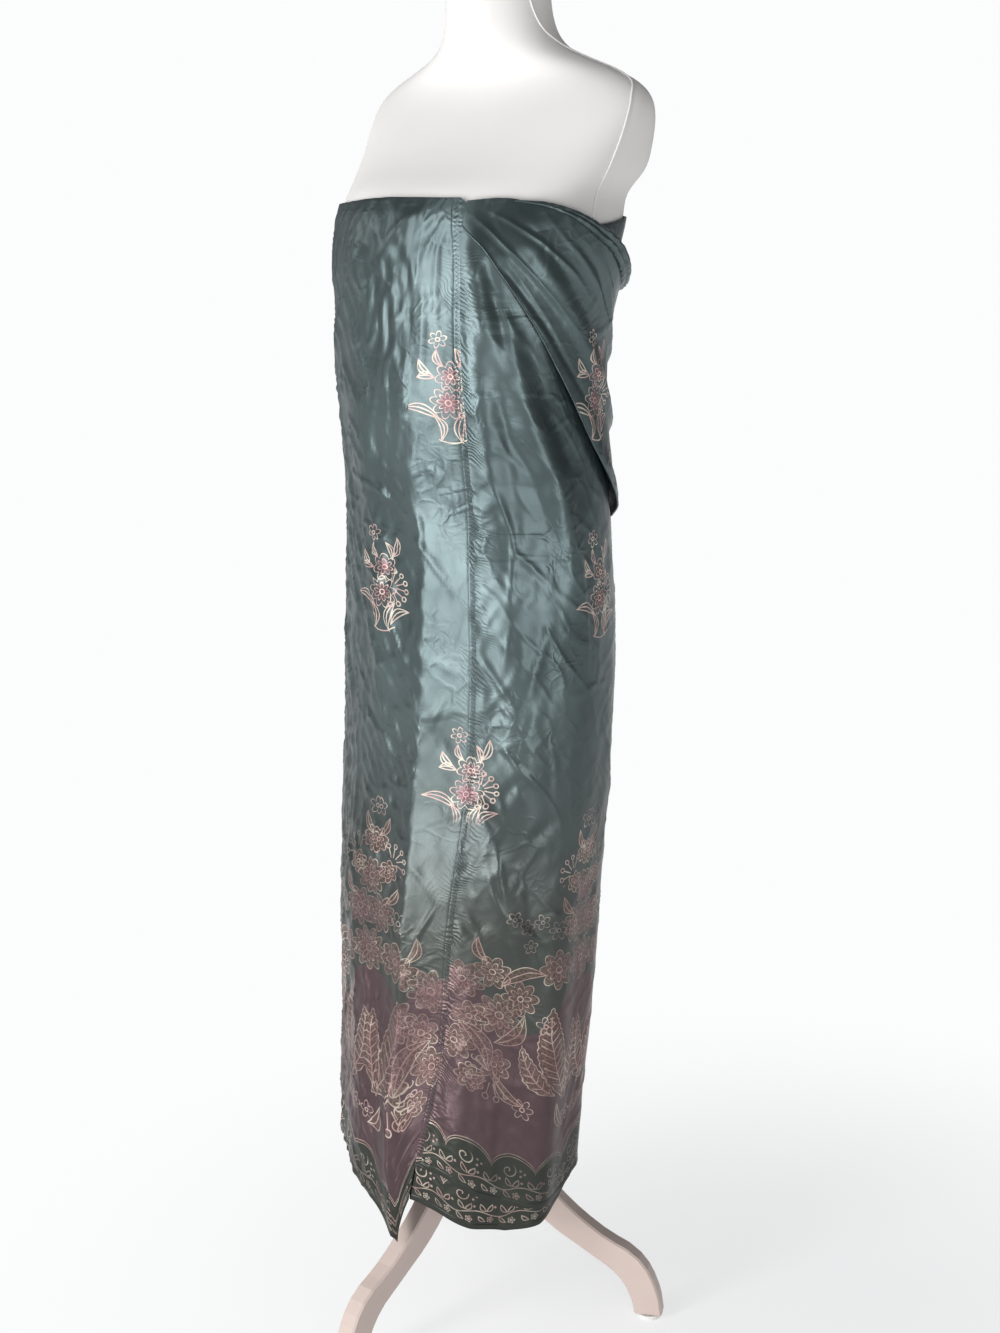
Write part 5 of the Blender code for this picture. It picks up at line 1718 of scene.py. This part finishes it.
stitch_heights = np.arange(UNDER_SEAM_HEIGHT + STITCH_LOW, FRONT_TOP[-1][1] - STITCH_HIGH, STITCH_STEP)
stitch_points, stitch_beside = seam_line(stitch_heights, SEAM_HEM_WIDTH / 2)
seam_stitches = add_cord("seam_stitches", stitch_points, stitch_beside, STITCH_RADIUS, thread,
                         STITCH_REACH, 5)

# %% [markdown]
# ### The rolled edge
#
# A fine scarf has a rolled hem. On the swag's lower edge it is a thin cord that follows the same
# creases as the cloth.

# %% The rolled edge of the swag
EDGE_POINTS = 260
EDGE_RADIUS = 0.0010
EDGE_INSET_DEGREES = 0.4


def make_swag_edge():
    """The narrow rolled hem on the swag's lower edge."""
    first = SWAG_EDGE[0][0] + EDGE_INSET_DEGREES
    last = SWAG_EDGE[-1][0] - EDGE_INSET_DEGREES
    angles = np.linspace(first, last, EDGE_POINTS)
    points = swag_points(angles, read_curve(SWAG_EDGE, angles))
    return add_cord("swag_edge", points, np.zeros(points.shape), EDGE_RADIUS, plain_silk, sides=8)


swag_edge = make_swag_edge()

# %% [markdown]
# ## The dress form
#
# A padded torso is covered in off-white jersey. The packed torso is the right shape but has flat
# facets, so a copy with its points merged and its surface subdivided takes its place.

# %% The form's cover
JERSEY_COLOURS = ((0.60, 0.59, 0.575), (0.65, 0.64, 0.63))
MERGE_DISTANCE = 0.00002


def make_jersey():
    """Off-white knit: a fine grain over a faint unevenness."""
    finish = Finish("jersey", Roughness=0.9, Specular_IOR_Level=0.25)
    place = coordinates(finish)
    cloud = finish.noise(place, 9.0, 3.0)
    finish.set("Base Color", finish.mix(cloud, *JERSEY_COLOURS))
    knit = finish.noise(place, 1400.0, 1.0) * 0.00005 + finish.noise(place, 60.0, 2.0) * 0.0004
    finish.set("Normal", finish.bump(knit, 1.0, 0.5))
    return finish


jersey = make_jersey()


def smooth_copy(node_name, piece_name, finish, levels=2):
    """A merged and subdivided copy of a packed node."""
    mesh = nodes[node_name].data.copy()
    mesh.name = piece_name
    mesh.materials.clear()
    body = bmesh.new()
    body.from_mesh(mesh)
    bmesh.ops.remove_doubles(body, verts=body.verts, dist=MERGE_DISTANCE)
    bmesh.ops.join_triangles(body, faces=body.faces, angle_face_threshold=0.6, angle_shape_threshold=3.1)
    body.to_mesh(mesh)
    body.free()
    piece = add_piece(piece_name, mesh, finish)
    smooth = piece.modifiers.new("smooth", "SUBSURF")
    smooth.levels = levels
    smooth.render_levels = levels
    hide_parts(node_name)
    return piece


form_cover = smooth_copy("form_torso", "form_cover", jersey)
print("form_cover has", len(form_cover.data.polygons), "faces before it is smoothed")

# %% [markdown]
# ### The form's piping
#
# The seams of the cover are piped. The line runs over the shoulder and down the side, and its mirror
# does the same on the other side. Each point is moved to the nearest place of the cover.

# %% The form's piping
PIPING_RADIUS = 0.0011
PIPING_POINTS = 120
PIPING_STANDS_OUT = 0.3

# The piped line on the left side: share of the way, then x, y, z
PIPING_LINE = [
    (0.00, 0.0500, 0.0540, 1.4300), (0.06, 0.0523, 0.0573, 1.4107), (0.14, 0.0578, 0.0663, 1.3872),
    (0.20, 0.0694, 0.0774, 1.3719), (0.26, 0.0830, 0.0870, 1.3620), (0.33, 0.0990, 0.0930, 1.3540),
    (0.41, 0.1200, 0.0950, 1.3450), (0.50, 0.1440, 0.0900, 1.3370), (0.58, 0.1590, 0.0846, 1.3290),
    (0.65, 0.1690, 0.0725, 1.3160), (0.71, 0.1719, 0.0655, 1.3017), (0.80, 0.1678, 0.0574, 1.2734),
    (0.90, 0.1585, 0.0480, 1.2405), (1.00, 0.1540, 0.0360, 1.2000),
]


def make_piping(side, name):
    """Piping laid on the cover, along the line or its mirror."""
    cover = BVHTree.FromObject(form_cover, bpy.context.evaluated_depsgraph_get())
    shares = np.linspace(0.0, 1.0, PIPING_POINTS)
    places = np.stack([read_curve(PIPING_LINE, shares, column) for column in (1, 2, 3)], axis=-1)
    points = []
    for place in places:
        found, normal = cover.find_nearest(Vector((side * place[0], place[1], place[2])))[:2]
        points.append(found + normal * PIPING_RADIUS * PIPING_STANDS_OUT)
    points = np.array(points)
    return add_cord(name, points, np.zeros(points.shape), PIPING_RADIUS, jersey, sides=10)


for side, name in ((1, "piping_left"), (-1, "piping_right")):
    piping = make_piping(side, name)

# %% [markdown]
# ## The stand
#
# The legs are boards painted a pale pink, and so are the hidden pole and plates. Brush marks run
# along each leg, and the small glides are white plastic.

# %% The stand's finishes
PAINT_COLOURS = ((0.48, 0.385, 0.345), (0.57, 0.475, 0.435))
PLASTIC_COLOURS = ((0.68, 0.68, 0.67), (0.74, 0.74, 0.73))
BRUSH_SIZE = (0.10, 0.10, 0.012)


def make_paint():
    """Pale paint on wood with faint brush marks."""
    finish = Finish("painted_wood", Roughness=0.42)
    place = coordinates(finish)
    marks = finish.add("ShaderNodeMapping", {"vector_type": "TEXTURE"}, {0: place, 3: BRUSH_SIZE})
    brush = finish.noise(marks, 1.0, 4.0, 0.6)
    cloud = finish.noise(place, 14.0, 3.0)
    finish.set("Base Color", finish.mix(cloud * 0.6 + brush * 0.4, *PAINT_COLOURS))
    finish.set("Normal", finish.bump(brush, 0.0004, 0.5))
    return finish


def make_plastic():
    """White moulded plastic."""
    finish = Finish("white_plastic", Roughness=0.35)
    cloud = finish.noise(coordinates(finish), 80.0, 2.0)
    finish.set("Base Color", finish.mix(cloud, *PLASTIC_COLOURS))
    return finish


PARTS_OF_FINISH = {
    make_paint(): ("leg_front", "leg_left", "leg_right", "hub", "base_plate", "pole", "neck_cap"),
    make_plastic(): ("glide_front", "glide_left", "glide_right"),
}
for finish, names in PARTS_OF_FINISH.items():
    for name in names:
        for slot in nodes[name].material_slots:
            slot.material = finish.material
    print(finish.material.name, "on", ", ".join(names))

# %% [markdown]
# ## The scarf laid flat
#
# Each sheet is declared with the size of what shows of it, laid flat. The whole scarf is one
# rectangle of about 1.1 m by 2.2 m, and a good part of it lies under the outer turn.

# %% [markdown]
# ## Size
#
# The dressed part must be no bigger than the packed model, apart from the cloth's own softness.
